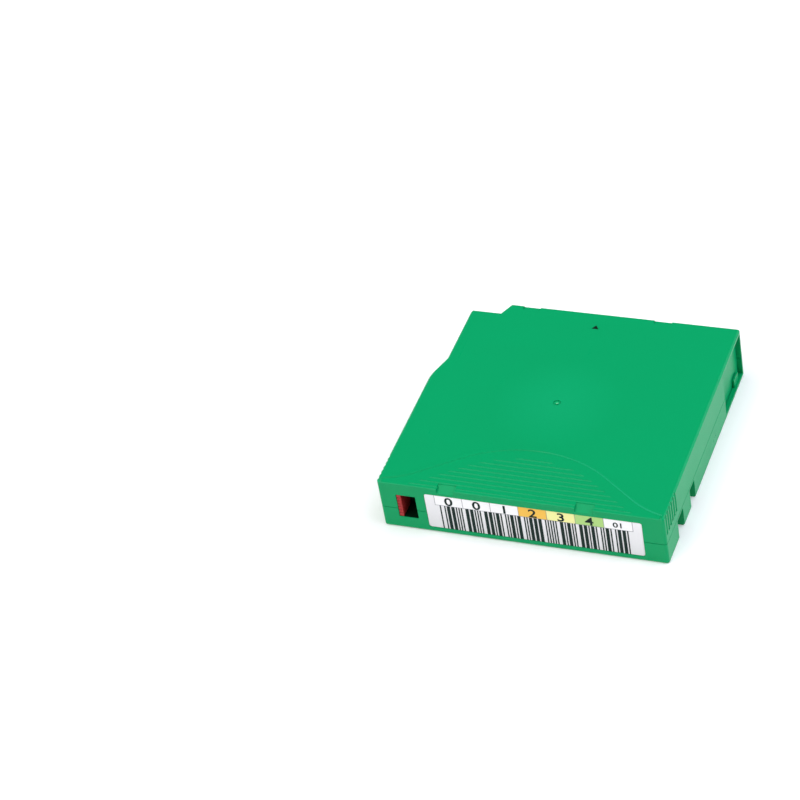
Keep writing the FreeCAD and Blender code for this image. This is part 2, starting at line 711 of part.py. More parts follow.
def bottom_shell():
    """Lower half of the case."""
    block = join([bevelled_edge(EDGE_BEVEL, 0, EDGE_BEVEL),
                  case_block(0, EDGE_BEVEL, SEAM_Z - SEAM_GROOVE_H),
                  case_block(SEAM_GROOVE_D, SEAM_Z - SEAM_GROOVE_H, SEAM_Z)])
    shell = block.cut(case_block(WALL, PLATE, SEAM_Z + FAR))
    added = notch_pockets() + pin_cup() + board_ribs()
    added += [tab_rail(PLATE, TAB_Z0 - SEAT_GAP), tab_fence(PLATE, SEAM_Z)]
    added += datum_boss(DATUM_HOLE, 0)
    added += datum_boss(DATUM_SLOT, DATUM_SLOT_L - 2 * DATUM_R)
    added.append(leaf_clamp())
    rim_r = WINDOW_R + RIM_SETBACK
    added.append(ring(REEL_X, REEL_Y, PLATE - ROOT, PLATE + RIM_H, rim_r + RIM_W, rim_r))
    for x, y in SCREW_PLACES:
        added.append(rod(x, y, PLATE, SEAM_Z, BOSS_R))
    for first, last in ARC_WALL_SPANS:
        added.append(arc_wall(first, last, PLATE, PLATE + ARC_WALL_H))
    added.append(spring_peg(DOOR_SPRING_SEAT_Y, 1))
    shell = join([shell] + added)
    cuts = notch_cuts() + datum_cut(DATUM_HOLE, 0)
    cuts += datum_cut(DATUM_SLOT, DATUM_SLOT_L - 2 * DATUM_R)
    cuts.append(rod(REEL_X, REEL_Y, -FAR, PLATE + FAR, WINDOW_R))
    for x, y in SCREW_PLACES:
        cuts.append(rod(x, y, -FAR, SEAM_Z + FAR, SCREW_R + CLEARANCE))
        cuts.append(rod(x, y, -FAR, SCREW_SUNK + SCREW_HEAD_H, SCREW_HEAD_R + CLEARANCE))
    cuts += [label_recess(), tab_window(), doorway()]
    cuts.append(door_groove(PLATE - DOOR_GROOVE, PLATE + NEAR))
    cuts.append(lip_zone(LIP_GAP, LIP_GAP, SEAM_Z - LIP_H - LIP_GAP, SEAM_Z + FAR))
    return shell.cut(cuts).removeSplitter()


def rest_outline(inward, z):
    """Plan of the finger rest, moved inwards: arched, with flanks that flare to the sides."""
    turn = math.radians(REST_TURN)
    end = math.radians(REST_END_TURN)
    crown = V(0, BACK + REST_REACH - inward, z)
    crown_r = REST_CROWN_R - inward
    flare_r = REST_FLARE_R + inward
    bends = REST_CROWN_R * math.sin(turn) + REST_FLARE_R * (math.sin(turn) - math.sin(end))
    flank = (RIGHT - REST_TIP_INSET - bends) / math.cos(turn)
    hip = crown + V(math.sin(turn), math.cos(turn) - 1, 0) * crown_r
    foot = hip + V(math.cos(turn), -math.sin(turn), 0) * flank
    centre = foot + V(math.sin(turn), math.cos(turn), 0) * flare_r
    middle = centre - V(math.sin((turn + end) / 2), math.cos((turn + end) / 2), 0) * flare_r
    tip = centre - V(math.sin(end), math.cos(end), 0) * flare_r
    side = V(RIGHT - REST_MARGIN - inward, tip.y, z)
    side.y -= (side.x - tip.x) * math.tan(end)
    corner = V(side.x, BACK - FAR, z)
    right = [Part.makeLine(hip, foot), Part.Arc(foot, middle, tip).toShape(),
             Part.makeLine(tip, side), Part.makeLine(side, corner)]
    left = [edge.mirror(V(0, 0, 0), V(1, 0, 0)) for edge in right]
    arch = Part.Arc(V(-hip.x, hip.y, z), crown, hip).toShape()
    foot_line = Part.makeLine(corner, V(-corner.x, corner.y, z))
    return Part.Wire(Part.__sortEdges__([arch, foot_line] + right + left))


def rest_block(inward, z0, z1):
    """Upright block over the finger rest's plan."""
    return Part.Face(rest_outline(inward, z0)).extrude(V(0, 0, z1 - z0))


def rest_floor(y):
    """Height of the finger rest's floor at a distance across it."""
    slope = (REST_DEPTH - REST_RIM_DEPTH) / REST_REACH
    return CASE_H - REST_RIM_DEPTH - slope * (BACK + REST_REACH - y)


def ridges():
    """Fine roof-shaped ridges across the finger rest, cut off along a smaller arch."""
    made = []
    half = RIDGE_W / 2
    y = BACK + RIDGE_FIRST
    while y < BACK + REST_REACH - RIDGE_INSET:
        z = rest_floor(y)
        outline = [(y - half, z - ROOT), (y + half, z - ROOT), (y + half, z),
                   (y, z + RIDGE_H), (y - half, z)]
        made.append(slab_x(outline, LEFT, RIGHT))
        y += RIDGE_PITCH
    return rest_block(RIDGE_INSET, ROOF_Z, CASE_H + FAR).common(made)


def finger_rest():
    """Arched finger rest with a sloping rim, a little deeper towards the label face."""
    past_y = BACK - FAR
    rim_y = BACK + REST_REACH
    outline = [(rim_y, rest_floor(rim_y)), (rim_y, CASE_H + FAR), (past_y, CASE_H + FAR),
               (past_y, rest_floor(past_y))]
    low = rest_outline(REST_DEPTH, CASE_H - REST_DEPTH)
    bowl = Part.makeLoft([low, rest_outline(0, CASE_H)], True, True)
    return slab_x(outline, LEFT, RIGHT).common(bowl)


def top_recesses():
    """Shallow recesses on the top's edges: ramps over the label, flat ones in front."""
    cuts = []
    inner_y = BACK + NIP_BACK_RUN
    slope = (NIP_MOUTH_DEPTH - NIP_BACK_DEPTH) / NIP_BACK_RUN
    ramp = [(inner_y, CASE_H - NIP_BACK_DEPTH), (inner_y, CASE_H + FAR), (BACK - FAR, CASE_H + FAR),
            (BACK - FAR, CASE_H - NIP_MOUTH_DEPTH - slope * FAR)]
    for side in (-1, 1):
        x = REEL_X + side * NIP_SPACING / 2
        cuts.append(slab_x(ramp, x - NIP_W / 2, x + NIP_W / 2))
        cuts.append(box(x - NIP_W / 2, FRONT - NIP_FRONT_RUN, CASE_H - NIP_FRONT_DEPTH,
                        x + NIP_W / 2, FRONT + FAR, CASE_H + FAR))
    return cuts


def nip_shelves():
    """Thicker roof under the recesses over the label."""
    made = []
    for side in (-1, 1):
        x = REEL_X + side * NIP_SPACING / 2
        made.append(box(x - NIP_W / 2 - NIP_SHELF, BACK + WALL - ROOT,
                        CASE_H - NIP_SHELF_DEPTH, x + NIP_W / 2 + NIP_SHELF,
                        BACK + NIP_BACK_RUN + NIP_SHELF, ROOF_Z + ROOT))
    return made


def grip_grooves():
    """Upright finger grooves in both sides."""
    cuts = []
    reach = GRIP_R - GRIP_DEPTH
    for i in range(GRIP_COUNT):
        y = BACK + GRIP_START + i * GRIP_PITCH
        cuts.append(rod(RIGHT + reach, y, GRIP_Z, CASE_H + FAR, GRIP_R))
        cuts.append(rod(LEFT - reach, y, GRIP_Z, CASE_H + FAR, GRIP_R))
    return cuts


def arrow():
    """Small engraved arrow that points to the leading edge."""
    tip_y = FRONT - ARROW_FROM_EDGE
    points = [(-ARROW_W / 2, tip_y - ARROW_L), (ARROW_W / 2, tip_y - ARROW_L), (0, tip_y)]
    return prism(points, CASE_H - ARROW_DEPTH, CASE_H + FAR)


def brake_key(span, thickness, z0, z1):
    """Cross-shaped upright key on the reel's axis."""
    bars = [box(REEL_X - span / 2, REEL_Y - thickness / 2, z0,
                REEL_X + span / 2, REEL_Y + thickness / 2, z1),
            box(REEL_X - thickness / 2, REEL_Y - span / 2, z0,
                REEL_X + thickness / 2, REEL_Y + span / 2, z1)]
    return join(bars)


def top_shell():
    """Upper half of the case."""
    block = join([case_block(0, SEAM_Z, CASE_H - EDGE_BEVEL),
                  bevelled_edge(EDGE_BEVEL, CASE_H, CASE_H - EDGE_BEVEL)])
    block = block.cut(finger_rest())
    room = case_block(EDGE_BEVEL, SEAM_Z, CASE_H)
    block = block.fuse(ridges().common(room))
    shell = block.cut(case_block(WALL, SEAM_Z - FAR, ROOF_Z))
    added = [lip_zone(0, 0, SEAM_Z - LIP_H, SEAM_Z + WALL / 2)]
    added += [mirror_z(piece) for piece in pin_cup()]
    added += [tab_rail(TAB_Z1 + SEAT_GAP, ROOF_Z), tab_fence(SEAM_Z, ROOF_Z)]
    added.append(mirror_z(leaf_clamp()))
    added.append(brake_key(KEY_SPAN, KEY_T, KEY_Z, ROOF_Z + PLATE / 2))
    added.append(ring(REEL_X, REEL_Y, ROOF_Z - SPRING_RING_H, ROOF_Z + PLATE / 2,
                      SPRING_RING_R + SPRING_RING_W, SPRING_RING_R))
    for x, y in SCREW_PLACES:
        added.append(rod(x, y, SEAM_Z, ROOF_Z, BOSS_R))
    for first, last in ARC_WALL_SPANS:
        added.append(arc_wall(first, last, ROOF_Z - ARC_WALL_H, ROOF_Z))
    added.append(board_finger())
    shell = join([shell] + added + nip_shelves())
    cuts = top_recesses() + grip_grooves()
    cuts += [arrow(), label_recess(), tab_window(), doorway()]
    cuts.append(door_groove(ROOF_Z - NEAR, ROOF_Z + DOOR_GROOVE))
    cuts.append(ring(REEL_X, REEL_Y, CASE_H - GATE_DEPTH, CASE_H + FAR, GATE_R, GATE_NUB_R))
    for x, y in SCREW_PLACES:
        cuts.append(rod(x, y, SEAM_Z - FAR, SEAM_Z + SCREW_IN_TOP + SCREW_R,
                        SCREW_R + SCREW_FIT))
    return shell.cut(cuts).removeSplitter()


def board_finger():
    """Finger under the top plate that keeps the memory board on its ribs."""
    depth = WALL
    y1 = BOARD_Y
    y0 = y1 - depth
    face_sum = BOARD_Y + BOARD_Z + (BOARD_T / 2 + SEAT_GAP) * math.sqrt(2)
    outline = [(y0, ROOF_Z), (y0, face_sum - y0), (y1, face_sum - y1), (y1, ROOF_Z)]
    x0 = BOARD_X + CHIP_SIZE / 2 + BOARD_RIB_T
    return slab_x(outline, x0, x0 + BOARD_RIB_T)


def case_screws():
    """Four screws that hold the shells together, as separate solids."""
    screws = []
    for x, y in SCREW_PLACES:
        head_z = SCREW_SUNK
        shank_z = head_z + SCREW_HEAD_H
        screw = join([rod(x, y, head_z, shank_z, SCREW_HEAD_R),
                      rod(x, y, shank_z, SEAM_Z + SCREW_IN_TOP, SCREW_R)])
        long_half = SCREW_CROSS_L / 2
        short_half = SCREW_CROSS_W / 2
        cross = [box(x - long_half, y - short_half, head_z - FAR, x + long_half,
                     y + short_half, head_z + SCREW_CROSS_D),
                 box(x - short_half, y - long_half, head_z - FAR, x + short_half,
                     y + long_half, head_z + SCREW_CROSS_D)]
        screws.append(screw.cut(cross))
    return Part.makeCompound(screws)


def barcode_label():
    """Label in its recess."""
    y1 = BACK + LABEL_RECESS
    return label_block(LABEL_X0, LABEL_X1, LABEL_Z0, LABEL_Z1, y1 - LABEL_T, y1)


# ================================================================ write-protect tab
def write_protect_tab():
    """Sliding tab with a serrated knob in the window."""
    body = box(TAB_KNOB_X0 - TAB_HIDDEN_W, TAB_BODY_Y0, TAB_Z0, TAB_KNOB_X1, TAB_BODY_Y1,
               TAB_Z1)
    knob = box(TAB_KNOB_X0, BACK + SEAT_GAP, TAB_Z0, TAB_KNOB_X1, TAB_BODY_Y0 + WALL, TAB_Z1)
    tab = join([body, knob])
    pitch = (TAB_Z1 - TAB_Z0) / (TAB_SERRATIONS + 1)
    cuts = []
    for i in range(TAB_SERRATIONS):
        z = TAB_Z0 + (i + 1) * pitch
        face_y = BACK + SEAT_GAP
        outline = [(face_y - TAB_SERRATION_D, z - pitch / 2),
                   (face_y + TAB_SERRATION_D, z),
                   (face_y - TAB_SERRATION_D, z + pitch / 2)]
        cuts.append(slab_x(outline, TAB_KNOB_X0 - NEAR, TAB_KNOB_X1 + NEAR))
    hollow = box(TAB_KNOB_X0 - TAB_HIDDEN_W + TAB_KNOB_W, TAB_BODY_Y0 + TAB_KNOB_W,
                 TAB_Z0 + TAB_KNOB_W, TAB_KNOB_X1 - TAB_KNOB_W, TAB_BODY_Y1 + FAR,
                 TAB_Z1 - TAB_KNOB_W)
    return tab.cut(cuts + [hollow])


# ================================================================ reel
def clutch_pegs(z0, z1, radius):
    """Three rods, one between each two release legs."""
    pegs = []
    for leg in LEG_ANGLES:
        angle = math.radians(leg + CLUTCH_PEG_TURN)
        pegs.append(rod(REEL_X + CLUTCH_PEG_PLACE_R * math.cos(angle),
                        REEL_Y + CLUTCH_PEG_PLACE_R * math.sin(angle), z0, z1, radius))
    return pegs


def reel_hub():
    """Cup-shaped hub in one piece with the upper flange, gear rings on both floor faces."""
    inner = HUB_R - HUB_WALL
    top_z = UPPER_FLANGE_Z + FLANGE_T
    wall_z = REEL_Z + FLANGE_T
    outline = [(HUB_EYE_R, HUB_FLOOR_Z), (SPIGOT_R, HUB_FLOOR_Z), (SPIGOT_R, wall_z),
               (HUB_R, wall_z), (HUB_R, UPPER_FLANGE_Z), (FLANGE_R, UPPER_FLANGE_Z),
               (FLANGE_R, top_z - FLANGE_BEVEL), (FLANGE_R - FLANGE_BEVEL, top_z),
               (inner, top_z), (inner, HUB_FLOOR_TOP), (HUB_EYE_R, HUB_FLOOR_TOP)]
    parts = [revolve(outline, REEL_X, REEL_Y),
             tooth_ring(DRIVE_TOOTH_ROOT, HUB_FLOOR_Z + HUB_FLOOR_T / 2),
             tooth_ring(HUB_FLOOR_TOP - HUB_FLOOR_T / 2, LOCK_TOOTH_ROOT)]
    for i in range(TEETH):
        angle = i * 360.0 / TEETH
        if not near_leg(angle):
            parts.append(tooth(DRIVE_TOOTH_ROOT, -DRIVE_TOOTH_H, angle))
            parts.append(tooth(LOCK_TOOTH_ROOT, LOCK_TOOTH_H, angle))
    parts += clutch_pegs(HUB_FLOOR_Z - CLUTCH_PLATE_T, HUB_FLOOR_TOP, CLUTCH_PEG_R)
    hub = join(parts)
    cuts = []
    for angle in LEG_ANGLES:
        cuts.append(radial_block(angle, LEG_RI - LEG_HOLE_GAP, LEG_RO + LEG_HOLE_GAP,
                                 LEG_W + 2 * LEG_HOLE_GAP, DRIVE_TOOTH_TIP - FAR,
                                 HUB_FLOOR_TOP + FAR))
        cuts.append(radial_block(angle, PAD_R, TOOTH_RO + CLEARANCE,
                                 LEG_W + 4 * LEG_HOLE_GAP, HUB_FLOOR_TOP,
                                 LOCK_TOOTH_ROOT + FAR))
    return hub.cut(cuts).removeSplitter()


def lower_flange():
    """Ring welded under the hub."""
    bore = SPIGOT_R + SPIGOT_GAP
    top_z = REEL_Z + FLANGE_T
    outline = [(bore, REEL_Z), (FLANGE_R - FLANGE_BEVEL, REEL_Z),
               (FLANGE_R, REEL_Z + FLANGE_BEVEL), (FLANGE_R, top_z), (bore, top_z)]
    return revolve(outline, REEL_X, REEL_Y)


def clutch_plate():
    """Steel disc under the hub floor that the drive's magnet holds."""
    plate = ring(REEL_X, REEL_Y, HUB_FLOOR_Z - CLUTCH_PLATE_T, HUB_FLOOR_Z,
                 TOOTH_RI - TOOTH_LAND - SEAT_GAP, CLUTCH_PLATE_RI)
    return plate.cut(clutch_pegs(HUB_FLOOR_Z - FAR, HUB_FLOOR_Z + FAR,
                                 CLUTCH_PEG_R + SCREW_FIT))


def tape_pack():
    """Wound tape."""
    return ring(REEL_X, REEL_Y, PACK_Z, PACK_Z + TAPE_W, PACK_R, HUB_R + SCREW_FIT)


def release_pad():
    """Three-legged pad that the drive pushes up to free the reel."""
    parts = [rod(REEL_X, REEL_Y, PAD_Z, PAD_Z + PAD_T, PAD_R),
             rod(REEL_X, REEL_Y, PAD_Z, PAD_CROWN_Z, PAD_BOSS_R)]
    for angle in LEG_ANGLES:
        parts.append(radial_block(angle, 0, LEG_RO, LEG_W, PAD_Z, PAD_Z + PAD_T))
        parts.append(radial_block(angle, LEG_RI, LEG_RO, LEG_W,
                                  DRIVE_TOOTH_TIP + LEG_TIP_GAP, PAD_Z + PAD_T))
    return join(parts)


def brake_button():
    """Toothed brake that locks the hub, with a keyed stem."""
    parts = [rod(REEL_X, REEL_Y, BRAKE_Z, BRAKE_TOP, BRAKE_R),
             rod(REEL_X, REEL_Y, BRAKE_Z, STEM_TOP, STEM_R)]
    boss = rod(REEL_X, REEL_Y, PAD_CROWN_Z + SEAT_GAP, BRAKE_Z + BRAKE_T / 2, PAD_BOSS_R)
    parts.append(boss)
    for i in range(TEETH):
        parts.append(tooth(BRAKE_Z, -LOCK_TOOTH_H, (i + 0.5) * 360.0 / TEETH))
    brake = join(parts)
    socket = brake_key(KEY_SPAN + 2 * KEY_GAP, KEY_T + 2 * KEY_GAP,
                       BRAKE_TOP + STEM_FLOOR, STEM_TOP + FAR)
    return brake.cut(socket)


def brake_spring():
    """Coil spring between the brake and the top plate."""
    spring = coil(BRAKE_SPRING_R, BRAKE_WIRE_R, BRAKE_SPRING_TURNS,
                  ROOF_Z - BRAKE_TOP - 2 * SEAT_GAP)
    spring.translate(V(REEL_X, REEL_Y, BRAKE_TOP + SEAT_GAP))
    return spring


# ================================================================ door
def spring_peg(y, direction):
    """Peg inside one end of the door's spring."""
    return Part.makeCylinder(PEG_R, PEG_L, V(DOOR_SPRING_X, y, DOOR_SPRING_Z),
                             V(0, direction, 0))


def door():
    """Sliding door with the lug that its spring pushes."""
    panel = box(DOOR_X0, DOOR_Y0, DOOR_Z0, DOOR_X1, DOOR_Y1, DOOR_Z1)
    lug = box(DOOR_X0 - DOOR_LUG_W, DOOR_LUG_Y0, DOOR_SPRING_Z - DOOR_LUG_H / 2,
              DOOR_X1, DOOR_LUG_Y0 + DOOR_LUG_L, DOOR_SPRING_Z + DOOR_LUG_H / 2)
    return join([panel, lug, spring_peg(DOOR_LUG_Y0, -1)])


def door_spring():
    """Long coil spring that closes the door."""
    length = DOOR_LUG_Y0 - DOOR_SPRING_SEAT_Y - 2 * SEAT_GAP
    spring = coil(DOOR_SPRING_R, DOOR_WIRE_R, DOOR_SPRING_TURNS, length)
    spring.rotate(V(0, 0, 0), V(1, 0, 0), -90)
    spring.translate(V(DOOR_SPRING_X, DOOR_SPRING_SEAT_Y + SEAT_GAP, DOOR_SPRING_Z))
    return spring


# ================================================================ leader
def leader_pin():
    """Flanged pin on the end of the tape."""
    outline = [(0, PIN_Z0), (PIN_HEAD_R, PIN_Z0), (PIN_HEAD_R, PIN_Z0 + PIN_HEAD_T),
               (PIN_R, PIN_Z0 + PIN_HEAD_T), (PIN_R, PIN_Z1 - PIN_HEAD_T),
               (PIN_HEAD_R, PIN_Z1 - PIN_HEAD_T), (PIN_HEAD_R, PIN_Z1), (0, PIN_Z1)]
    return revolve(outline, PIN_X, PIN_Y)


def leader_ends():
    """Where the leader leaves the wound tape, and where it meets the clip."""
    reach = PACK_R + LEADER_GAP + LEADER_T / 2
    dx = PIN_X - REEL_X
    dy = PIN_Y - REEL_Y
    span = math.hypot(dx, dy)
    angle = math.atan2(dy, dx) + math.acos(reach / span)
    tx = REEL_X + reach * math.cos(angle)
    ty = REEL_Y + reach * math.sin(angle)
    ux, uy = unit(PIN_X, PIN_Y, tx, ty)
    stop = CLIP_R + CLIP_GAP
    return (tx, ty), (PIN_X + ux * stop, PIN_Y + uy * stop)


def tape_leader():
    """Free length of tape from the pack to the pin."""
    return strip(list(leader_ends()), LEADER_T, PACK_Z, PACK_Z + TAPE_W)


def leader_clip():
    """Split sleeve that clamps the tape's end on the pin."""
    clip = ring(PIN_X, PIN_Y, CLIP_Z0, CLIP_Z1, CLIP_R, PIN_R + CLIP_GAP)
    (tx, ty), _ = leader_ends()
    angle = math.degrees(math.atan2(ty - PIN_Y, tx - PIN_X)) + 180
    mouth = box(0, -CLIP_MOUTH / 2, CLIP_Z0 - FAR, CLIP_R + FAR, CLIP_MOUTH / 2,
                CLIP_Z1 + FAR)
    mouth.rotate(V(0, 0, 0), V(0, 0, 1), angle)
    mouth.translate(V(PIN_X, PIN_Y, 0))
    return clip.cut(mouth)


def pin_spring_lower():
    """Leaf spring that keeps the pin's lower head in its cup."""
    middle = PIN_Z0 + PIN_HEAD_T / 2
    return strip(leaf_path(), LEAF_T, middle - LEAF_H / 2, middle + LEAF_H / 2)


def pin_spring_upper():
    """Leaf spring that keeps the pin's upper head in its cup."""
    return mirror_z(pin_spring_lower())


# ================================================================ memory board
def tilt_board(shape):
    """Lean a part of the memory board back against its ribs."""
    shape.rotate(V(0, 0, 0), V(1, 0, 0), -BOARD_ANGLE)
    shape.translate(V(BOARD_X, BOARD_Y, BOARD_Z))
    return shape


def memory_board():
    """Small circuit board with the coil that the drive reads."""
    board = box(-BOARD_W / 2, -BOARD_L / 2, -BOARD_T / 2, BOARD_W / 2, BOARD_L / 2,
                BOARD_T / 2)
    return tilt_board(board)


def memory_chip():
    """Capped chip on the memory board."""
    half = CHIP_SIZE / 2
    chip = box(-half, -half, BOARD_T / 2, half, half, BOARD_T / 2 + CHIP_T)
    return tilt_board(chip)


# ================================================================ files
NODES = (bottom_shell, top_shell, case_screws, barcode_label, write_protect_tab, reel_hub,
         lower_flange, clutch_plate, tape_pack, release_pad, brake_button, brake_spring,
         door, door_spring, leader_pin, leader_clip, tape_leader, pin_spring_lower,
         pin_spring_upper, memory_board, memory_chip)


def main():
    """Write one STEP file for each piece."""
    os.makedirs("parts", exist_ok=True)
    for make in NODES:
        shape = make()
        shape.exportStep("parts/" + make.__name__ + ".step")
        print(make.__name__, "volume %.1f" % shape.Volume, "valid", shape.isValid(),
              "solids", len(shape.Solids))


main()
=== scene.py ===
"""Finishes, label printing and studio for the data tape cartridge.

Metres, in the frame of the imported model: the label face looks to -Y, the door is on +X.
"""

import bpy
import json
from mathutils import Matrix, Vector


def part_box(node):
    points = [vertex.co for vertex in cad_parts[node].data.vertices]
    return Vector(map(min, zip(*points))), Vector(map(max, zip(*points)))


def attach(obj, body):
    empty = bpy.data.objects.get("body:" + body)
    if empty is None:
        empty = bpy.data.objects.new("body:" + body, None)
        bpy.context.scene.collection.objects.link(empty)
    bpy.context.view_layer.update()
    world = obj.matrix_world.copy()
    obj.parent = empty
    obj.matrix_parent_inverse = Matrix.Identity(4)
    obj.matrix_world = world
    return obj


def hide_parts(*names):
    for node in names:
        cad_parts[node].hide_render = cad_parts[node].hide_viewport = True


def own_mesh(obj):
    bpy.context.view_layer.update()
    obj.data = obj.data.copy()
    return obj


bl_info = {
    "name": "Data Tape Cartridge",
    "version": (1, 0, 0),
    "blender": (4, 5, 0),
    "location": "3D View > Sidebar > Cartridge",
    "description": "Dresses a data tape cartridge with finishes, a printed label and a studio",
    "category": "Object",
}

import json
import math

import bpy
from mathutils import Matrix, Vector

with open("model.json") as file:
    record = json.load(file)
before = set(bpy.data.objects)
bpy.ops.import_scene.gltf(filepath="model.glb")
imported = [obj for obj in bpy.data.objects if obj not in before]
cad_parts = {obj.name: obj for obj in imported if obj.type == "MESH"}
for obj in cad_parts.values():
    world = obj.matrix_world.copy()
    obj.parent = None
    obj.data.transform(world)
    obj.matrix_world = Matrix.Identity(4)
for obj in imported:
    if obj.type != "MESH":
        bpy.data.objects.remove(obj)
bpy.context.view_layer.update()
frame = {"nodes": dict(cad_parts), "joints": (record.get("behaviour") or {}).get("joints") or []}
NODES = frame["nodes"]


# ---------------------------------------------------------------- shader sheets
class Value:
    """A shader socket that takes part in sums and products."""

    def __init__(self, sheet, socket):
        self.sheet = sheet
        self.socket = socket

    def __add__(self, other):
        return self.sheet.maths("ADD", self, other)

    def __radd__(self, other):
        return self.sheet.maths("ADD", other, self)

    def __sub__(self, other):
        return self.sheet.maths("SUBTRACT", self, other)

    def __rsub__(self, other):
        return self.sheet.maths("SUBTRACT", other, self)

    def __mul__(self, other):
        return self.sheet.maths("MULTIPLY", self, other)

    def __rmul__(self, other):
        return self.sheet.maths("MULTIPLY", other, self)


class Finish:
    """One material and the nodes that make it."""

    def __init__(self, name):
        self.material = bpy.data.materials.new(name)
        self.material.use_nodes = True
        self.tree = self.material.node_tree
        self.shader = self.tree.nodes["Principled BSDF"]

    def node(self, kind, settings=None, inputs=None, output=0):
        """Any node: its settings first, then the values or links of its sockets."""
        made = self.tree.nodes.new(kind)
        for name, value in (settings or {}).items():
            if name == "stops":
                self.set_stops(made.color_ramp.elements, value)
            else:
                setattr(made, name, value)
        for name, value in (inputs or {}).items():
            self.feed(made.inputs[name], value)
        return Value(self, made.outputs[output])

    def set_stops(self, elements, stops):
        """Places and colours of a ramp."""
        while len(elements) < len(stops):
            elements.new(1.0)
        for element, (place, colour) in zip(elements, stops):
            element.position = place
            element.color = colour

    def feed(self, socket, value):
        """A link for a Value, and a plain setting for anything else."""
        if isinstance(value, Value):
            self.tree.links.new(value.socket, socket)
        else:
            socket.default_value = value

    def maths(self, operation, first, second):
        """One Math node."""
        return self.node("ShaderNodeMath", {"operation": operation}, {0: first, 1: second})

    def place(self):
        """Position on the piece, in metres."""
        return self.node("ShaderNodeTexCoord", output="Object")

    def noise(self, scale, detail=2.0, place=None):
        """Noise from 0 to 1, with features about 1/scale metres across."""
        inputs = {"Vector": place or self.place(), "Scale": scale, "Detail": detail}
        return self.node("ShaderNodeTexNoise", None, inputs)

    def stretched(self, scales, detail=3.0):
        """Noise with its own scale along each axis."""
        mapped = self.node("ShaderNodeMapping", None, {"Vector": self.place(), "Scale": scales})
        return self.noise(1.0, detail, mapped)

    def ramp(self, value, low, high):
        """Value spread from 0 at low to 1 at high."""
        return self.node("ShaderNodeMapRange", None,
                         {"Value": value, "From Min": low, "From Max": high})

    def blend(self, factor, first, second):
        """Mix of two colours."""
        return self.node("ShaderNodeMix", {"data_type": "RGBA"},
                         {0: factor, 6: first, 7: second}, 2)

    def radius(self, centre):
        """Distance from an upright axis."""
        offset = self.node("ShaderNodeVectorMath", {"operation": "SUBTRACT"},
                           {0: self.place(), 1: (centre[0], centre[1], 0.0)})
        flat = self.node("ShaderNodeVectorMath", {"operation": "MULTIPLY"},
                         {0: offset, 1: (1.0, 1.0, 0.0)})
        return self.node("ShaderNodeVectorMath", {"operation": "LENGTH"}, {0: flat}, "Value")

    def rings(self, reach, scale, detail):
        """Noise that changes only with the distance from an axis."""
        return self.node("ShaderNodeTexNoise", {"noise_dimensions": "1D"},
                         {"W": reach, "Scale": scale, "Detail": detail})

    def surface(self, **inputs):
        """Settings and links of the shader itself."""
        for name, value in inputs.items():
            self.feed(self.shader.inputs[name.replace("_", " ")], value)

    def relief(self, height, depth):
        """Bump of a given depth in metres."""
        self.surface(Normal=self.node("ShaderNodeBump", None,
                                      {"Height": height, "Distance": depth}))


def rgba(colour):
    """Colour with full cover."""
    return (colour[0], colour[1], colour[2], 1.0)


def shaded(colour, share):
    """The same hue with a share of its light."""
    return rgba([channel * share for channel in colour[:3]])


# ---------------------------------------------------------------- finishes
# Noise scales along X, Y and Z: the larger, the finer along that axis.
FLOW_CLOUDS = (28.0, 55.0, 90.0)
HANDLING_MARKS = (900.0, 60.0, 300.0)
DRAWN_WIRE = (1500.0, 1500.0, 6000.0)
SCREW_LINES = (2500.0, 2500.0, 900.0)
COPPER_GRAIN = (900.0, 900.0, 900.0)
PAPER_FIBRE = (2600.0, 900.0, 1400.0)
BOARD_WEAVE = 900.0
PLASTIC_GRAIN = 0.00045   # size of the plastic's grain
FLOW_SHARE = 0.10         # how much the flow clouds darken the plastic
METAL_LINES = 0.000004    # depth of the lines in drawn metal


def moulded_plastic(name, colour, roughness, depth=0.000012):
    """Moulded plastic: faint flow clouds, fine spark-eroded grain, light handling marks."""
    finish = Finish(name)
    flow = finish.stretched(FLOW_CLOUDS)
    grain = finish.noise(1.0 / PLASTIC_GRAIN, 3.0)
    marks = finish.ramp(finish.stretched(HANDLING_MARKS, 1.0), 0.66, 0.80)
    tone = finish.ramp(flow, 0.25, 0.75) * FLOW_SHARE + grain * FLOW_SHARE * 0.4
    finish.surface(Base_Color=finish.blend(tone, rgba(colour), shaded(colour, 0.72)),
                   Roughness=grain * 0.10 + flow * 0.08 + (roughness - 0.09) - marks * 0.05)
    finish.relief(grain + marks * 0.3, depth)
    return finish


HALO_RIM = 0.024                      # radius at which the halo round the gate ends
HALO_CORE = 0.001                     # radius of its palest part
HALO_SHARE = 0.22                     # of the paler colour, at that part
HIGHLIGHT_SIDE = (-0.416, -0.572, 0.707)   # edges that face this way get a painted highlight
HIGHLIGHT_FACING = 0.89                    # cosine at which the painted highlight starts
HIGHLIGHT_TINT = (0.05, 0.93, 0.58)        # colour of the painted highlight
HIGHLIGHT_SHARE = 0.15                     # how far it turns


def case_plastic(name, colour, roughness, gate):
    """Plastic with a pale halo round the moulding gate, and a painted highlight on edges that
    face one way.
    """
    finish = moulded_plastic(name, colour, roughness)
    halo = finish.ramp(finish.radius(gate), HALO_RIM, HALO_CORE) * HALO_SHARE
    facing = finish.node("ShaderNodeVectorMath", {"operation": "DOT_PRODUCT"},
                         {0: finish.node("ShaderNodeNewGeometry", output="True Normal"),
                          1: HIGHLIGHT_SIDE}, "Value")
    # painted highlight: the edges that face one way are turned paler
    painted_highlight = finish.ramp(facing, HIGHLIGHT_FACING, 1.0)
    flat = Value(finish, finish.shader.inputs["Base Color"].links[0].from_socket)
    # pale colour of the gate's halo and of the painted highlight
    halo_and_highlight_colour = rgba([channel + (tint - channel) * HIGHLIGHT_SHARE
                  for channel, tint in zip(colour, HIGHLIGHT_TINT)])
    finish.surface(Base_Color=finish.blend(halo + painted_highlight, flat, halo_and_highlight_colour), Specular_IOR_Level=0.11)
    return finish


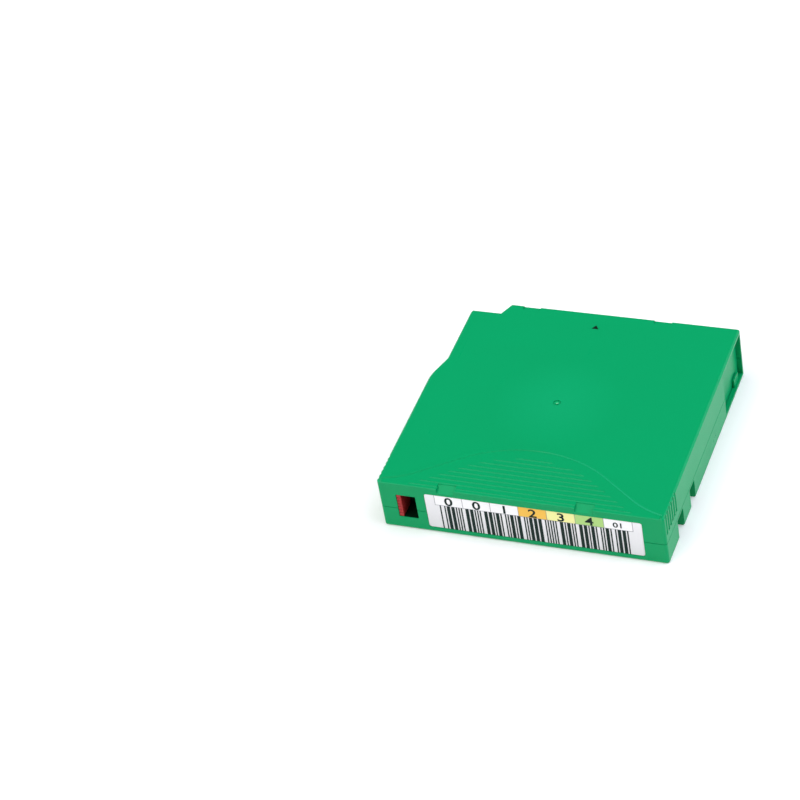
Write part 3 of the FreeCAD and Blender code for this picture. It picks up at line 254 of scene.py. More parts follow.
def steel(name, colour, roughness, scales):
    """Drawn or rolled metal with fine lines along one direction."""
    finish = Finish(name)
    lines = finish.stretched(scales)
    stain = finish.noise(160.0)
    finish.surface(Base_Color=finish.blend(stain * 0.35, rgba(colour), shaded(colour, 0.7)),
                   Roughness=lines * 0.18 + stain * 0.08 + (roughness - 0.12), Metallic=1.0)
    finish.relief(lines, METAL_LINES)
    return finish


def turned_steel(name, colour, roughness, centre, pitch):
    """Steel with fine rings round an upright axis."""
    finish = Finish(name)
    rings = finish.rings(finish.radius(centre), 1.0 / pitch, 2.0)
    stain = finish.noise(220.0)
    finish.surface(Base_Color=finish.blend(stain * 0.3, rgba(colour), shaded(colour, 0.7)),
                   Roughness=rings * 0.2 + (roughness - 0.1), Metallic=1.0)
    finish.relief(rings, 0.000006)
    return finish


def tape_edge(name, colour, centre, pitch):
    """Side of the wound tape: fine turns with a few that stand proud."""
    finish = Finish(name)
    reach = finish.radius(centre)
    turns = finish.rings(reach, 1.0 / pitch, 3.0)
    bands = finish.rings(reach, 450.0, 1.0)
    tone = finish.ramp(turns * 0.6 + bands * 0.4, 0.3, 0.7)
    finish.surface(Base_Color=finish.blend(tone, shaded(colour, 0.6), rgba(colour)),
                   Roughness=turns * 0.2 + 0.22)
    finish.relief(turns + bands, 0.00001)
    return finish


def coated_paper(name, colour, foot, head):
    """Smooth coated label stock with a faint fibre mottle, and painted shade that darkens it
    towards its foot.
    """
    finish = Finish(name)
    rise = finish.node("ShaderNodeSeparateXYZ", None, {"Vector": finish.place()}, "Z")
    fibre = finish.stretched(PAPER_FIBRE)
    mottle = finish.noise(120.0)
    # painted shade: the stock darkens towards its foot
    tone = fibre * 0.10 + mottle * 0.12 + finish.ramp(rise, head, foot) * 0.55
    finish.surface(Base_Color=finish.blend(tone, rgba(colour), shaded(colour, 0.72)),
                   Roughness=fibre * 0.12 + 0.38)
    finish.relief(fibre, 0.000004)
    return finish


def printed_ink(name, colour, roughness=0.34):
    """Ink, a little uneven in density."""
    finish = Finish(name)
    dots = finish.noise(3200.0)
    cloud = finish.noise(90.0)
    finish.surface(Base_Color=finish.blend(dots * 0.16 + cloud * 0.14, rgba(colour),
                                           shaded(colour, 0.75)),
                   Roughness=dots * 0.12 + roughness, Specular_IOR_Level=0.15)
    finish.relief(dots, 0.000002)
    return finish


def solder_mask(name, colour):
    """Circuit board: glass weave under a green coating."""
    finish = Finish(name)
    threads = []
    for axis in "XY":
        wave = finish.node("ShaderNodeTexWave", {"bands_direction": axis},
                           {"Vector": finish.place(), "Scale": BOARD_WEAVE,
                            "Distortion": 0.4})
        threads.append(finish.node("ShaderNodeRGBToBW", None, {"Color": wave}))
    height = threads[0] * threads[1]
    finish.surface(Base_Color=finish.blend(height * 0.35, rgba(colour), shaded(colour, 0.6)),
                   Roughness=height * 0.1 + 0.28)
    finish.relief(height, 0.000008)
    return finish


def dress(name, finish):
    """Gives a CAD node one finish all over."""
    slots = NODES[name].data.materials
    slots.clear()
    slots.append(finish.material)


# ---------------------------------------------------------------- modelling
ALONG_AXIS = 0.9          # share of an edge's length that makes it run along an axis
BEVEL_STEPS = 4
WIRE_SIDES = 10
TURN_STEPS = 28
SMOOTH_ANGLE = math.radians(60)
LETTER_STRETCH = (1.22, 1.0, 1.0, 1.0)
LETTER_WEIGHT = 0.016     # how much bolder than the plain face, against the height
LETTER_CURVE = 6
MERGE = 0.000002          # corners nearer than this are one


def middle(node):
    """Middle of a CAD node's box."""
    low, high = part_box(node)
    return (low + high) / 2


def deselect():
    """Leaves nothing selected, in object mode."""
    if bpy.context.object and bpy.context.object.mode != "OBJECT":
        bpy.ops.object.mode_set(mode="OBJECT")
    bpy.ops.object.select_all(action="DESELECT")


def settle(piece):
    """Puts the piece's place, turn and scale into its mesh."""
    deselect()
    piece.select_set(True)
    bpy.context.view_layer.objects.active = piece
    bpy.ops.object.transform_apply(location=True, rotation=True, scale=True)
    return piece


def pick_edges(piece, wanted):
    """Edit mode with only the edges selected whose two ends pass a test."""
    bpy.ops.object.mode_set(mode="EDIT")
    bpy.ops.mesh.select_mode(type="EDGE")
    bpy.ops.mesh.select_all(action="DESELECT")
    bpy.ops.object.mode_set(mode="OBJECT")
    for edge in piece.data.edges:
        edge.select = wanted(*(piece.data.vertices[i].co for i in edge.vertices))
    bpy.ops.object.mode_set(mode="EDIT")


def block(name, low, high, bevel, along):
    """Plate between two corners, with its edges along one axis rounded off."""
    deselect()
    axis = "XYZ".index(along)
    centre = [(a + b) / 2 for a, b in zip(low, high)]
    bpy.ops.mesh.primitive_cube_add(size=1.0, location=centre)
    piece = bpy.context.object
    piece.name = name
    piece.scale = [b - a for a, b in zip(low, high)]
    settle(piece)
    pick_edges(piece, lambda start, end:
               abs((end - start)[axis]) > ALONG_AXIS * (end - start).length)
    bpy.ops.mesh.bevel(offset=bevel, segments=BEVEL_STEPS, affect="EDGES")
    bpy.ops.object.mode_set(mode="OBJECT")
    return piece


def join(name, pieces):
    """One object from several."""
    deselect()
    for piece in pieces:
        piece.select_set(True)
    bpy.context.view_layer.objects.active = pieces[0]
    if len(pieces) > 1:
        bpy.ops.object.join()
    joined = bpy.context.object
    joined.name = name
    joined.data.name = name
    return joined


def repeated(name, model, places):
    """One object from a modelled piece, moved to the first place, and copies at the others."""
    pieces = []
    for place in places[1:]:
        deselect()
        model.select_set(True)
        bpy.context.view_layer.objects.active = model
        bpy.ops.object.duplicate()
        copy = bpy.context.object
        copy.location = place
        pieces.append(settle(copy))
    model.location = places[0]
    return join(name, [settle(model)] + pieces)


def wire_coil(name, length, radius, wire, turns):
    """Open coil of round wire along +Z from the origin, with flat ends."""
    deselect()
    bpy.ops.mesh.primitive_circle_add(vertices=WIRE_SIDES, radius=wire / 2,
                                      location=(0, 0, 0))
    piece = bpy.context.object
    piece.name = name
    piece.rotation_euler = (math.radians(90), 0, 0)
    piece.location = (radius - wire / 2, 0, wire / 2)
    settle(piece)
    wind = piece.modifiers.new("wind", "SCREW")
    wind.axis = "Z"
    wind.iterations = turns
    wind.screw_offset = (length - wire) / turns
    wind.steps = wind.render_steps = TURN_STEPS
    bpy.ops.object.modifier_apply(modifier="wind")
    bpy.ops.object.mode_set(mode="EDIT")
    bpy.ops.mesh.select_all(action="SELECT")
    bpy.ops.mesh.fill_holes(sides=0)
    bpy.ops.mesh.normals_make_consistent(inside=False)
    bpy.ops.object.mode_set(mode="OBJECT")
    bpy.ops.object.shade_smooth_by_angle(angle=SMOOTH_ANGLE)
    return piece


def lettering(name, text, height, depth, base, spin):
    """Raised wide characters whose foot line is centred on base, turned by spin."""
    deselect()
    bpy.ops.object.text_add(location=(0, 0, 0))
    words = bpy.context.object
    words.data.body = text
    words.data.align_x = "CENTER"
    words.data.size = height
    words.data.extrude = depth / 2
    words.data.resolution_u = LETTER_CURVE
    words.data.offset = height * LETTER_WEIGHT
    bpy.ops.object.convert(target="MESH")
    piece = bpy.context.object
    piece.name = name
    piece.matrix_world = Matrix.Translation(base) @ spin @ Matrix.Diagonal(LETTER_STRETCH)
    settle(piece)
    bpy.ops.object.mode_set(mode="EDIT")
    bpy.ops.mesh.select_all(action="SELECT")
    bpy.ops.mesh.remove_doubles(threshold=MERGE)
    bpy.ops.mesh.normals_make_consistent(inside=False)
    bpy.ops.object.mode_set(mode="OBJECT")
    return piece


def wear(piece, finish, body):
    """Finish and body of a new piece."""
    piece.data.materials.clear()
    piece.data.materials.append(finish.material)
    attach(piece, body)


# ---------------------------------------------------------------- settings
class CartridgeColours(bpy.types.PropertyGroup):
    """Colours of the cartridge's pieces."""
    case: bpy.props.FloatVectorProperty(
        name="Case", description="Plastic of the shells and the door",
        default=(0.0005, 0.320, 0.108), min=0.0, max=1.0, subtype="COLOR")
    case_roughness: bpy.props.FloatProperty(
        name="Case roughness", description="How matt the case is",
        default=0.33, min=0.0, max=1.0, subtype="FACTOR")
    tab: bpy.props.FloatVectorProperty(
        name="Write-protect tab", description="Plastic of the sliding tab",
        default=(0.36, 0.020, 0.020), min=0.0, max=1.0, subtype="COLOR")
    paper: bpy.props.FloatVectorProperty(
        name="Label", description="Label stock",
        default=(0.86, 0.86, 0.87), min=0.0, max=1.0, subtype="COLOR")
    ink: bpy.props.FloatVectorProperty(
        name="Ink", description="Bars and digits of the label",
        default=(0.001, 0.016, 0.012), min=0.0, max=1.0, subtype="COLOR")
    field: bpy.props.FloatVectorProperty(
        name="White fields", description="White behind four of the fields",
        default=(0.95, 0.95, 0.95), min=0.0, max=1.0, subtype="COLOR")
    arrow: bpy.props.FloatVectorProperty(
        name="Arrow", description="Fill of the insertion arrow",
        default=(0.001, 0.012, 0.007), min=0.0, max=1.0, subtype="COLOR")
    rule: bpy.props.FloatVectorProperty(
        name="Rules", description="Thin lines between the label's fields",
        default=(0.20, 0.21, 0.24), min=0.0, max=1.0, subtype="COLOR")
    orange: bpy.props.FloatVectorProperty(
        name="Fourth field", description="Colour behind the fourth digit",
        default=(0.90, 0.53, 0.085), min=0.0, max=1.0, subtype="COLOR")
    yellow: bpy.props.FloatVectorProperty(
        name="Fifth field", description="Colour behind the fifth digit",
        default=(0.90, 0.88, 0.36), min=0.0, max=1.0, subtype="COLOR")
    lime: bpy.props.FloatVectorProperty(
        name="Sixth field", description="Colour behind the sixth digit",
        default=(0.43, 0.68, 0.22), min=0.0, max=1.0, subtype="COLOR")
    reel: bpy.props.FloatVectorProperty(
        name="Reel", description="Plastic of the hub and flanges",
        default=(0.62, 0.63, 0.64), min=0.0, max=1.0, subtype="COLOR")
    brake: bpy.props.FloatVectorProperty(
        name="Brake", description="Plastic of the brake and the release pad",
        default=(0.76, 0.74, 0.66), min=0.0, max=1.0, subtype="COLOR")
    tape: bpy.props.FloatVectorProperty(
        name="Tape", description="Coating of the tape",
        default=(0.032, 0.022, 0.016), min=0.0, max=1.0, subtype="COLOR")
    clutch: bpy.props.FloatVectorProperty(
        name="Clutch plate", description="Steel of the clutch plate",
        default=(0.56, 0.56, 0.57), min=0.0, max=1.0, subtype="COLOR")
    spring: bpy.props.FloatVectorProperty(
        name="Springs", description="Steel of the springs",
        default=(0.50, 0.50, 0.52), min=0.0, max=1.0, subtype="COLOR")
    pin: bpy.props.FloatVectorProperty(
        name="Leader pin", description="Steel of the leader pin",
        default=(0.72, 0.72, 0.74), min=0.0, max=1.0, subtype="COLOR")
    screw: bpy.props.FloatVectorProperty(
        name="Screws", description="Steel of the case screws",
        default=(0.42, 0.42, 0.44), min=0.0, max=1.0, subtype="COLOR")
    clip: bpy.props.FloatVectorProperty(
        name="Leader clip", description="Plastic of the leader clip",
        default=(0.035, 0.035, 0.042), min=0.0, max=1.0, subtype="COLOR")
    board: bpy.props.FloatVectorProperty(
        name="Memory board", description="Coating of the memory board",
        default=(0.012, 0.11, 0.035), min=0.0, max=1.0, subtype="COLOR")
    chip: bpy.props.FloatVectorProperty(
        name="Chip", description="Resin over the memory chip",
        default=(0.014, 0.014, 0.016), min=0.0, max=1.0, subtype="COLOR")
    copper: bpy.props.FloatVectorProperty(
        name="Copper", description="Turns on the memory board",
        default=(0.62, 0.30, 0.12), min=0.0, max=1.0, subtype="COLOR")


class LabelSizes(bpy.types.PropertyGroup):
    """Layout of the printed label."""
    digits: bpy.props.StringProperty(
        name="Digits", description="Six plain digits, one in each field", default="001234")
    suffix: bpy.props.StringProperty(
        name="Last field", description="Two small digits in the last field", default="01")
    field_width: bpy.props.FloatProperty(
        name="Field width", description="Width of one digit's field",
        default=0.01036, min=0.004, max=0.02, unit="LENGTH")
    field_height: bpy.props.FloatProperty(
        name="Field height", description="Height of the row of fields",
        default=0.0045, min=0.002, max=0.01, unit="LENGTH")
    field_start: bpy.props.FloatProperty(
        name="First field", description="From the label's left end to the first field",
        default=0.00374, min=0.0, max=0.02, unit="LENGTH")
    bars_start: bpy.props.FloatProperty(
        name="First bar", description="From the label's left end to the first bar",
        default=0.0053, min=0.0, max=0.02, unit="LENGTH")
    bars_width: bpy.props.FloatProperty(
        name="Bars", description="Width of all the bars together",
        default=0.0692, min=0.02, max=0.08, unit="LENGTH")
    digit_height: bpy.props.FloatProperty(
        name="Digit size", description="Type size of the digits",
        default=0.0052, min=0.002, max=0.01, unit="LENGTH")
    rule_width: bpy.props.FloatProperty(
        name="Rules", description="Width of the thin lines between the fields",
        default=0.00014, min=0.00005, max=0.001, unit="LENGTH")
    print_height: bpy.props.FloatProperty(
        name="Ink thickness", description="How far the printing stands on the label",
        default=0.00003, min=0.00001, max=0.0001, unit="LENGTH")


class TrimSizes(bpy.types.PropertyGroup):
    """Small forms on the case and on the memory board."""
    gate_radius: bpy.props.FloatProperty(
        name="Gate radius", description="Radius of the stub of the moulding gate",
        default=0.00065, min=0.0002, max=0.001, unit="LENGTH")
    gate_rise: bpy.props.FloatProperty(
        name="Gate rise", description="Height of the stub, as a share of its radius",
        default=0.32, min=0.05, max=1.0, subtype="FACTOR")
    arrow_width: bpy.props.FloatProperty(
        name="Arrow width", description="Width of the engraved arrow",
        default=0.0029, min=0.001, max=0.01, unit="LENGTH")
    arrow_length: bpy.props.FloatProperty(
        name="Arrow length", description="Length of the engraved arrow",
        default=0.0021, min=0.001, max=0.01, unit="LENGTH")
    arrow_inset: bpy.props.FloatProperty(
        name="Arrow inset", description="From the leading edge to the arrow's tip",
        default=0.0069, min=0.002, max=0.03, unit="LENGTH")
    track_turns: bpy.props.IntProperty(
        name="Board turns", description="Copper turns on the memory board",
        default=5, min=1, max=8)
    track_width: bpy.props.FloatProperty(
        name="Track width", description="Width of a copper turn, and of the gap to the next",
        default=0.0003, min=0.0001, max=0.0006, unit="LENGTH")
    track_rise: bpy.props.FloatProperty(
        name="Track height", description="How far the copper stands on the board",
        default=0.00004, min=0.00001, max=0.0001, unit="LENGTH")


class SpringSizes(bpy.types.PropertyGroup):
    """Wire of the two coil springs."""
    brake_wire: bpy.props.FloatProperty(
        name="Brake spring wire", description="Thickness of the brake spring's wire",
        default=0.0008, min=0.0003, max=0.0012, unit="LENGTH")
    brake_turns: bpy.props.IntProperty(
        name="Brake spring turns", description="Turns of the brake spring",
        default=5, min=2, max=9)
    door_wire: bpy.props.FloatProperty(
        name="Door spring wire", description="Thickness of the door spring's wire",
        default=0.0005, min=0.0002, max=0.0008, unit="LENGTH")
    door_turns: bpy.props.IntProperty(
        name="Door spring turns", description="Turns of the door spring",
        default=10, min=5, max=20)


class StudioSettings(bpy.types.PropertyGroup):
    """Camera, floor and lights."""
    target: bpy.props.FloatVectorProperty(
        name="Target", description="Point that the camera looks at",
        default=(-0.0589, -0.00854, 0.0215), subtype="TRANSLATION", unit="LENGTH")
    azimuth: bpy.props.FloatProperty(
        name="Azimuth", description="Turn of the camera from the label face towards the door",
        default=math.radians(27.13), subtype="ANGLE", unit="ROTATION")
    elevation: bpy.props.FloatProperty(
        name="Elevation", description="Height of the camera as an angle",
        default=math.radians(40.18), subtype="ANGLE", unit="ROTATION")
    roll: bpy.props.FloatProperty(
        name="Roll", description="Turn of the camera about its own view",
        default=math.radians(-11.22), subtype="ANGLE", unit="ROTATION")
    distance: bpy.props.FloatProperty(
        name="Distance", description="From the camera to its target",
        default=1.0248, min=0.1, unit="LENGTH")
    lens: bpy.props.FloatProperty(
        name="Focal length", description="Focal length in millimetres",
        default=126.9, min=10.0, max=500.0, unit="CAMERA")
    floor: bpy.props.FloatVectorProperty(
        name="Floor", description="Colour of the floor",
        default=(0.92, 0.92, 0.92), min=0.0, max=1.0, subtype="COLOR")
    floor_glow: bpy.props.FloatProperty(
        name="Floor glow", description="Light that the floor gives off, to thin the shadows",
        default=0.12, min=0.0, max=1.0, subtype="FACTOR")
    sky: bpy.props.FloatProperty(
        name="Surroundings", description="Light from all round",
        default=0.12, min=0.0, max=2.0)


# ---------------------------------------------------------------- operators
class CARTRIDGE_OT_case(bpy.types.Operator):
    """Finish of both shells and the door"""
    bl_idname = "cartridge.case"
    bl_label = "Case"

    def execute(self, context):
        colours = context.scene.cartridge_colours
        plastic = case_plastic("case_green", colours.case, colours.case_roughness,
                               middle("reel_hub"))
        for name in ("bottom_shell", "top_shell", "door"):
            dress(name, plastic)
        return {"FINISHED"}


GATE_PAINTED_HIGHLIGHT = 1.35    # painted highlight: the stub's colour, against the case's own
GATE_UNEVENNESS = 0.000012
GATE_SEED = 3


class CARTRIDGE_OT_gate(bpy.types.Operator):
    """Glossy rounded stub where the moulding gate was nipped off"""
    bl_idname = "cartridge.gate"
    bl_label = "Moulding gate"

    def execute(self, context):
        colours = context.scene.cartridge_colours
        trim = context.scene.cartridge_trim
        centre = middle("reel_hub")
        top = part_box("top_shell")[1].z
        deselect()
        bpy.ops.mesh.primitive_uv_sphere_add(segments=32, ring_count=16,
                                             radius=trim.gate_radius, location=(0, 0, 0))
        piece = bpy.context.object
        piece.name = "gate_stub"
        piece.scale = (1.0, 1.0, trim.gate_rise)
        piece.location = (centre.x, centre.y, top)
        settle(piece)
        bpy.ops.object.mode_set(mode="EDIT")
        bpy.ops.mesh.select_all(action="SELECT")
        bpy.ops.transform.vertex_random(offset=GATE_UNEVENNESS, seed=GATE_SEED)
        bpy.ops.object.mode_set(mode="OBJECT")
        # the stub's colour is brightened, a painted highlight
        stub = moulded_plastic("gate_stub", shaded(colours.case, GATE_PAINTED_HIGHLIGHT),
                               roughness=0.18, depth=0.000004)
        stub.surface(Specular_IOR_Level=1.0)
        wear(piece, stub, "case")
        return {"FINISHED"}


ARROW_FILL = 0.00008      # thickness of the arrow's fill, and how deep it lies
ARROW_EASE = 0.98         # size of the fill, against its engraving
ARROW_BACK = 1.01         # how far its middle stands behind the tip, against its reach
ARROW_BEVEL = 0.00002
TRIANGLE_WIDTH = math.sqrt(3.0)   # of a triangle whose corners lie at radius 1
TRIANGLE_HEIGHT = 1.5


class CARTRIDGE_OT_arrow(bpy.types.Operator):
    """Dark fill of the engraved arrow"""
    bl_idname = "cartridge.arrow"
    bl_label = "Insertion arrow"

    def execute(self, context):
        trim = context.scene.cartridge_trim
        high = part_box("top_shell")[1]
        tip = Vector((0.0, high.y - trim.arrow_inset, high.z - ARROW_FILL))
        reach = trim.arrow_length / TRIANGLE_HEIGHT
        deselect()
        bpy.ops.mesh.primitive_cylinder_add(vertices=3, radius=1.0, depth=ARROW_FILL,
                                            location=(0, 0, 0))
        piece = bpy.context.object
        piece.name = "arrow_fill"
        piece.scale = (trim.arrow_width / TRIANGLE_WIDTH * ARROW_EASE, reach * ARROW_EASE, 1.0)
        piece.location = tip - Vector((0, reach * ARROW_BACK, 0))
        settle(piece)
        bpy.ops.object.mode_set(mode="EDIT")
        bpy.ops.mesh.select_all(action="SELECT")
        bpy.ops.mesh.bevel(offset=ARROW_BEVEL, segments=1, affect="EDGES")
        bpy.ops.object.mode_set(mode="OBJECT")
        ink = printed_ink("arrow_ink", context.scene.cartridge_colours.arrow, roughness=0.5)
        wear(piece, ink, "case")
        return {"FINISHED"}


BAR_CODES = {
    "0": "nnnwwnwnn", "1": "wnnwnnnnw", "2": "nnwwnnnnw", "3": "wnwwnnnnn", "4": "nnnwwnnnw",
    "5": "wnnwwnnnn", "6": "nnwwwnnnn", "7": "nnnwnnwnw", "8": "wnnwnnwnn", "9": "nnwwnnwnn",
    "*": "nwnnwnwnn",
}
WIDE = 2.6                # wide bars, against narrow ones
PRINT_SPREAD = 0.00005    # how softly the corners of the printing end
FIELDS = 7                # six digits and the suffix
DIGIT_FOOT = 0.91         # foot of the digits below the fields' top, against their height
DIGIT_DEPTH = 4           # thickness of the digits, in layers of ink
SUFFIX_SIZE = 0.62        # the suffix, against the digits
SUFFIX_RISE = 0.12        # how much higher it stands, against the digits' size


class CARTRIDGE_OT_label(bpy.types.Operator):
    """Label stock, coloured fields, thin rules, digits and bars"""
    bl_idname = "cartridge.label"
    bl_label = "Label"

    def execute(self, context):
        colours = context.scene.cartridge_colours
        sizes = context.scene.cartridge_label
        self.low, self.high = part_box("barcode_label")
        dress("barcode_label", coated_paper("label_paper", colours.paper, self.low.z,
                                            self.high.z))
        self.rise = sizes.print_height
        self.fields(colours, sizes)
        self.rules(colours, sizes)
        self.digits(colours, sizes)
        self.bars(colours, sizes)
        return {"FINISHED"}

    def flat(self, name, width, z0, z1, layer=1):
        """Printed patch with soft corners on the label's face, from X = 0."""
        face = self.low.y
        return block(name, (0, face - self.rise * layer, z0), (width, face, z1), PRINT_SPREAD,
                     "Y")

    def field_edge(self, sizes, index):
        """Left edge of a field."""
        return self.low.x + sizes.field_start + index * sizes.field_width

    def fields(self, colours, sizes):
        """Patches behind the digits: white ones, and three in colours, apart under the rules."""
        bottom = self.high.z - sizes.field_height
        gap = sizes.rule_width / 2
        tints = {"field_white": ((0, 1, 2, 6), colours.field),
                 "field_orange": ((3,), colours.orange),
                 "field_yellow": ((4,), colours.yellow),
                 "field_lime": ((5,), colours.lime)}
        for name, (indices, colour) in tints.items():
            places = [(self.field_edge(sizes, index) + gap / 2, 0, 0) for index in indices]
            patch = self.flat(name, sizes.field_width - gap, bottom, self.high.z)
            wear(repeated(name, patch, places), printed_ink(name + "_ink", colour), "case")

    def rules(self, colours, sizes):
        """Thin lines between the fields and under them."""
        bottom = self.high.z - sizes.field_height
        first = self.field_edge(sizes, 0)
        upright = self.flat("rule", sizes.rule_width, bottom, self.high.z, 2)
        places = [(self.field_edge(sizes, index) - sizes.rule_width / 2, 0, 0)
                  for index in range(FIELDS + 1)]
        level = self.flat("rule", self.field_edge(sizes, FIELDS) - first, bottom,
                          bottom + sizes.rule_width, 2)
        lines = [repeated("rules", upright, places), repeated("rules", level, [(first, 0, 0)])]
        wear(join("label_rules", lines), printed_ink("rule_ink", colours.rule), "case")

    def digits(self, colours, sizes):
        """One digit in each of six fields, and a smaller pair in the last."""
        upright = Matrix.Rotation(math.radians(90), 4, "X")
        foot = self.high.z - sizes.field_height * DIGIT_FOOT
        face = self.low.y - self.rise
        depth = self.rise * DIGIT_DEPTH
        pieces = []
        for index, digit in enumerate(sizes.digits):
            centre = self.field_edge(sizes, index) + sizes.field_width / 2
            pieces.append(lettering("digit", digit, sizes.digit_height, depth,
                                    Vector((centre, face, foot)), upright))
        centre = self.field_edge(sizes, FIELDS - 1) + sizes.field_width / 2
        foot += sizes.digit_height * SUFFIX_RISE
        pieces.append(lettering("digit", sizes.suffix, sizes.digit_height * SUFFIX_SIZE, depth,
                                Vector((centre, face, foot)), upright))
        wear(join("label_digits", pieces), printed_ink("digit_ink", colours.ink), "case")

    def bars(self, colours, sizes):
        """Upright bars that spell the same digits."""
        words = ["*"] + list(sizes.digits + sizes.suffix) + ["*"]
        per_letter = 6 + 3 * WIDE      # six narrow bars and gaps, and three wide ones
        narrow = sizes.bars_width / (len(words) * per_letter + len(words) - 1)
        x = self.low.x + sizes.bars_start
        top = self.high.z - sizes.field_height
        places = {"n": [], "w": []}
        for letter in words:
            for place, kind in enumerate(BAR_CODES[letter]):
                if place % 2 == 0:
                    places[kind].append((x, 0, 0))
                x += narrow * (WIDE if kind == "w" else 1.0)
            x += narrow
        groups = []
        for kind, share in (("n", 1.0), ("w", WIDE)):
            bar = self.flat("bar", narrow * share, self.low.z + PRINT_SPREAD, top, 2)
            groups.append(repeated("bars", bar, places[kind]))
        wear(join("label_bars", groups), printed_ink("bar_ink", colours.ink), "case")


# Painted shade: a dark sheet behind the tab's window, where the case's inside is only in shade.
SHADE_SHEET_START = 0.00005     # from the tab's left end
SHADE_SHEET_REACH = 0.0056      # past the tab, to the far side of its window
SHADE_SHEET_GAP = 0.00012       # from the case's face and from the tab's foot
SHADE_SHEET_BACK = 0.00019      # behind the tab
SHADE_SHEET_THICKNESS = 0.00004
SHADE_SHEET_TONE = 0.04        # painted shade: the sheet's colour, against the case's own
TOUCHING = 0.00001


class CARTRIDGE_OT_tab(bpy.types.Operator):
    """Finish of the write-protect tab, and a dark sheet of painted shade in its window"""
    bl_idname = "cartridge.tab"
    bl_label = "Write-protect tab"

    def execute(self, context):
        colours = context.scene.cartridge_colours
        red = moulded_plastic("tab_red", colours.tab, roughness=0.42)
        red.surface(Specular_IOR_Level=0.25)
        dress("write_protect_tab", red)
        self.line(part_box("write_protect_tab"), shaded(colours.case, SHADE_SHEET_TONE))
        return {"FINISHED"}

    def line(self, tab, colour):
        """Dark bent sheet of painted shade under and behind the tab, clear of its way."""
        low, high = tab
        left = low.x + SHADE_SHEET_START
        length = high.x - low.x + SHADE_SHEET_REACH
        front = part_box("top_shell")[0].y + SHADE_SHEET_GAP
        back = high.y + SHADE_SHEET_BACK
        foot = low.z - SHADE_SHEET_GAP
        deselect()
        bpy.ops.mesh.primitive_plane_add(size=1.0, location=(0, 0, 0))
        piece = bpy.context.object
        piece.name = "tab_window_painted_shade"
        piece.scale = (length, back - front, 1.0)
        piece.location = (left + length / 2, (front + back) / 2, foot)
        settle(piece)
        pick_edges(piece, lambda start, end: min(start.y, end.y) > back - TOUCHING)
        bpy.ops.mesh.extrude_region_move(
            TRANSFORM_OT_translate={"value": (0, 0, high.z - low.z)})
        bpy.ops.object.mode_set(mode="OBJECT")
        sheet = piece.modifiers.new("sheet", "SOLIDIFY")
        sheet.thickness = SHADE_SHEET_THICKNESS
        sheet.offset = 0.0
        bpy.ops.object.modifier_apply(modifier="sheet")
        shade_sheet_finish = moulded_plastic("painted_shade_dark", colour, roughness=0.8)
        shade_sheet_finish.surface(Specular_IOR_Level=0.05)
        wear(piece, shade_sheet_finish, "case")


class CARTRIDGE_OT_reel(bpy.types.Operator):
    """Finishes of the hub, the flanges, the clutch plate and the tape"""
    bl_idname = "cartridge.reel"
    bl_label = "Reel and tape"

    def execute(self, context):
        colours = context.scene.cartridge_colours
        centre = middle("reel_hub")
        plastic = moulded_plastic("reel_grey", colours.reel, roughness=0.40, depth=0.000006)
        dress("reel_hub", plastic)
        dress("lower_flange", plastic)
        dress("clutch_plate", turned_steel("clutch_steel", colours.clutch, roughness=0.34,
                                           centre=centre, pitch=0.00012))
        tape = tape_edge("tape_black", colours.tape, centre, pitch=0.00004)
        dress("tape_pack", tape)
        dress("tape_leader", tape)
        return {"FINISHED"}


class CARTRIDGE_OT_brake(bpy.types.Operator):
    """Finishes of the brake and the release pad"""
    bl_idname = "cartridge.brake"
    bl_label = "Brake"

    def execute(self, context):
        colours = context.scene.cartridge_colours
        plastic = moulded_plastic("brake_white", colours.brake, roughness=0.38,
                                  depth=0.000006)
        dress("brake_button", plastic)
        dress("release_pad", plastic)
        return {"FINISHED"}


class CARTRIDGE_OT_springs(bpy.types.Operator):
    """Leaf springs, and the two coil springs"""
    bl_idname = "cartridge.springs"
    bl_label = "Springs"

    def execute(self, context):
        colours = context.scene.cartridge_colours
        sizes = context.scene.cartridge_springs
        self.steel = steel("spring_steel", colours.spring, roughness=0.32, scales=DRAWN_WIRE)
        for name in ("pin_spring_lower", "pin_spring_upper"):
            dress(name, self.steel)
        self.brake_coil(sizes)
        self.door_coil(sizes)
        return {"FINISHED"}

    def brake_coil(self, sizes):
        """Coil that hangs from the top plate and presses the brake down."""
        low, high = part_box("brake_spring")
        length = high.z - low.z
        piece = wire_coil("brake_coil", length, (high.x - low.x) / 2, sizes.brake_wire,
                          sizes.brake_turns)
        piece.location = ((low.x + high.x) / 2, (low.y + high.y) / 2, low.z)
        self.fit(settle(piece), "brake_spring", "brake_lift", (0, 0, 1), high, length)

    def door_coil(self, sizes):
        """Long coil that closes the door, from its seat on the case."""
        low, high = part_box("door_spring")
        length = high.y - low.y
        piece = wire_coil("door_coil", length, (high.x - low.x) / 2, sizes.door_wire,
                          sizes.door_turns)
        piece.rotation_euler = (math.radians(-90), 0, 0)
        piece.location = ((low.x + high.x) / 2, low.y, (low.z + high.z) / 2)
        self.fit(settle(piece), "door_spring", "door_slide", (0, 1, 0), low, length)

    def fit(self, piece, node, joint, axis, seat, length):
        """Finish of a coil, which stays on its seat, in place of the hidden CAD node; the
        joint's travel is read but not used.
        """
        wear(piece, self.steel, "case")
        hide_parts(node)
        travel = next(j["range_m"][1] for j in frame["joints"] if j["name"] == joint)
        1 - travel / length
        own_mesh(piece)


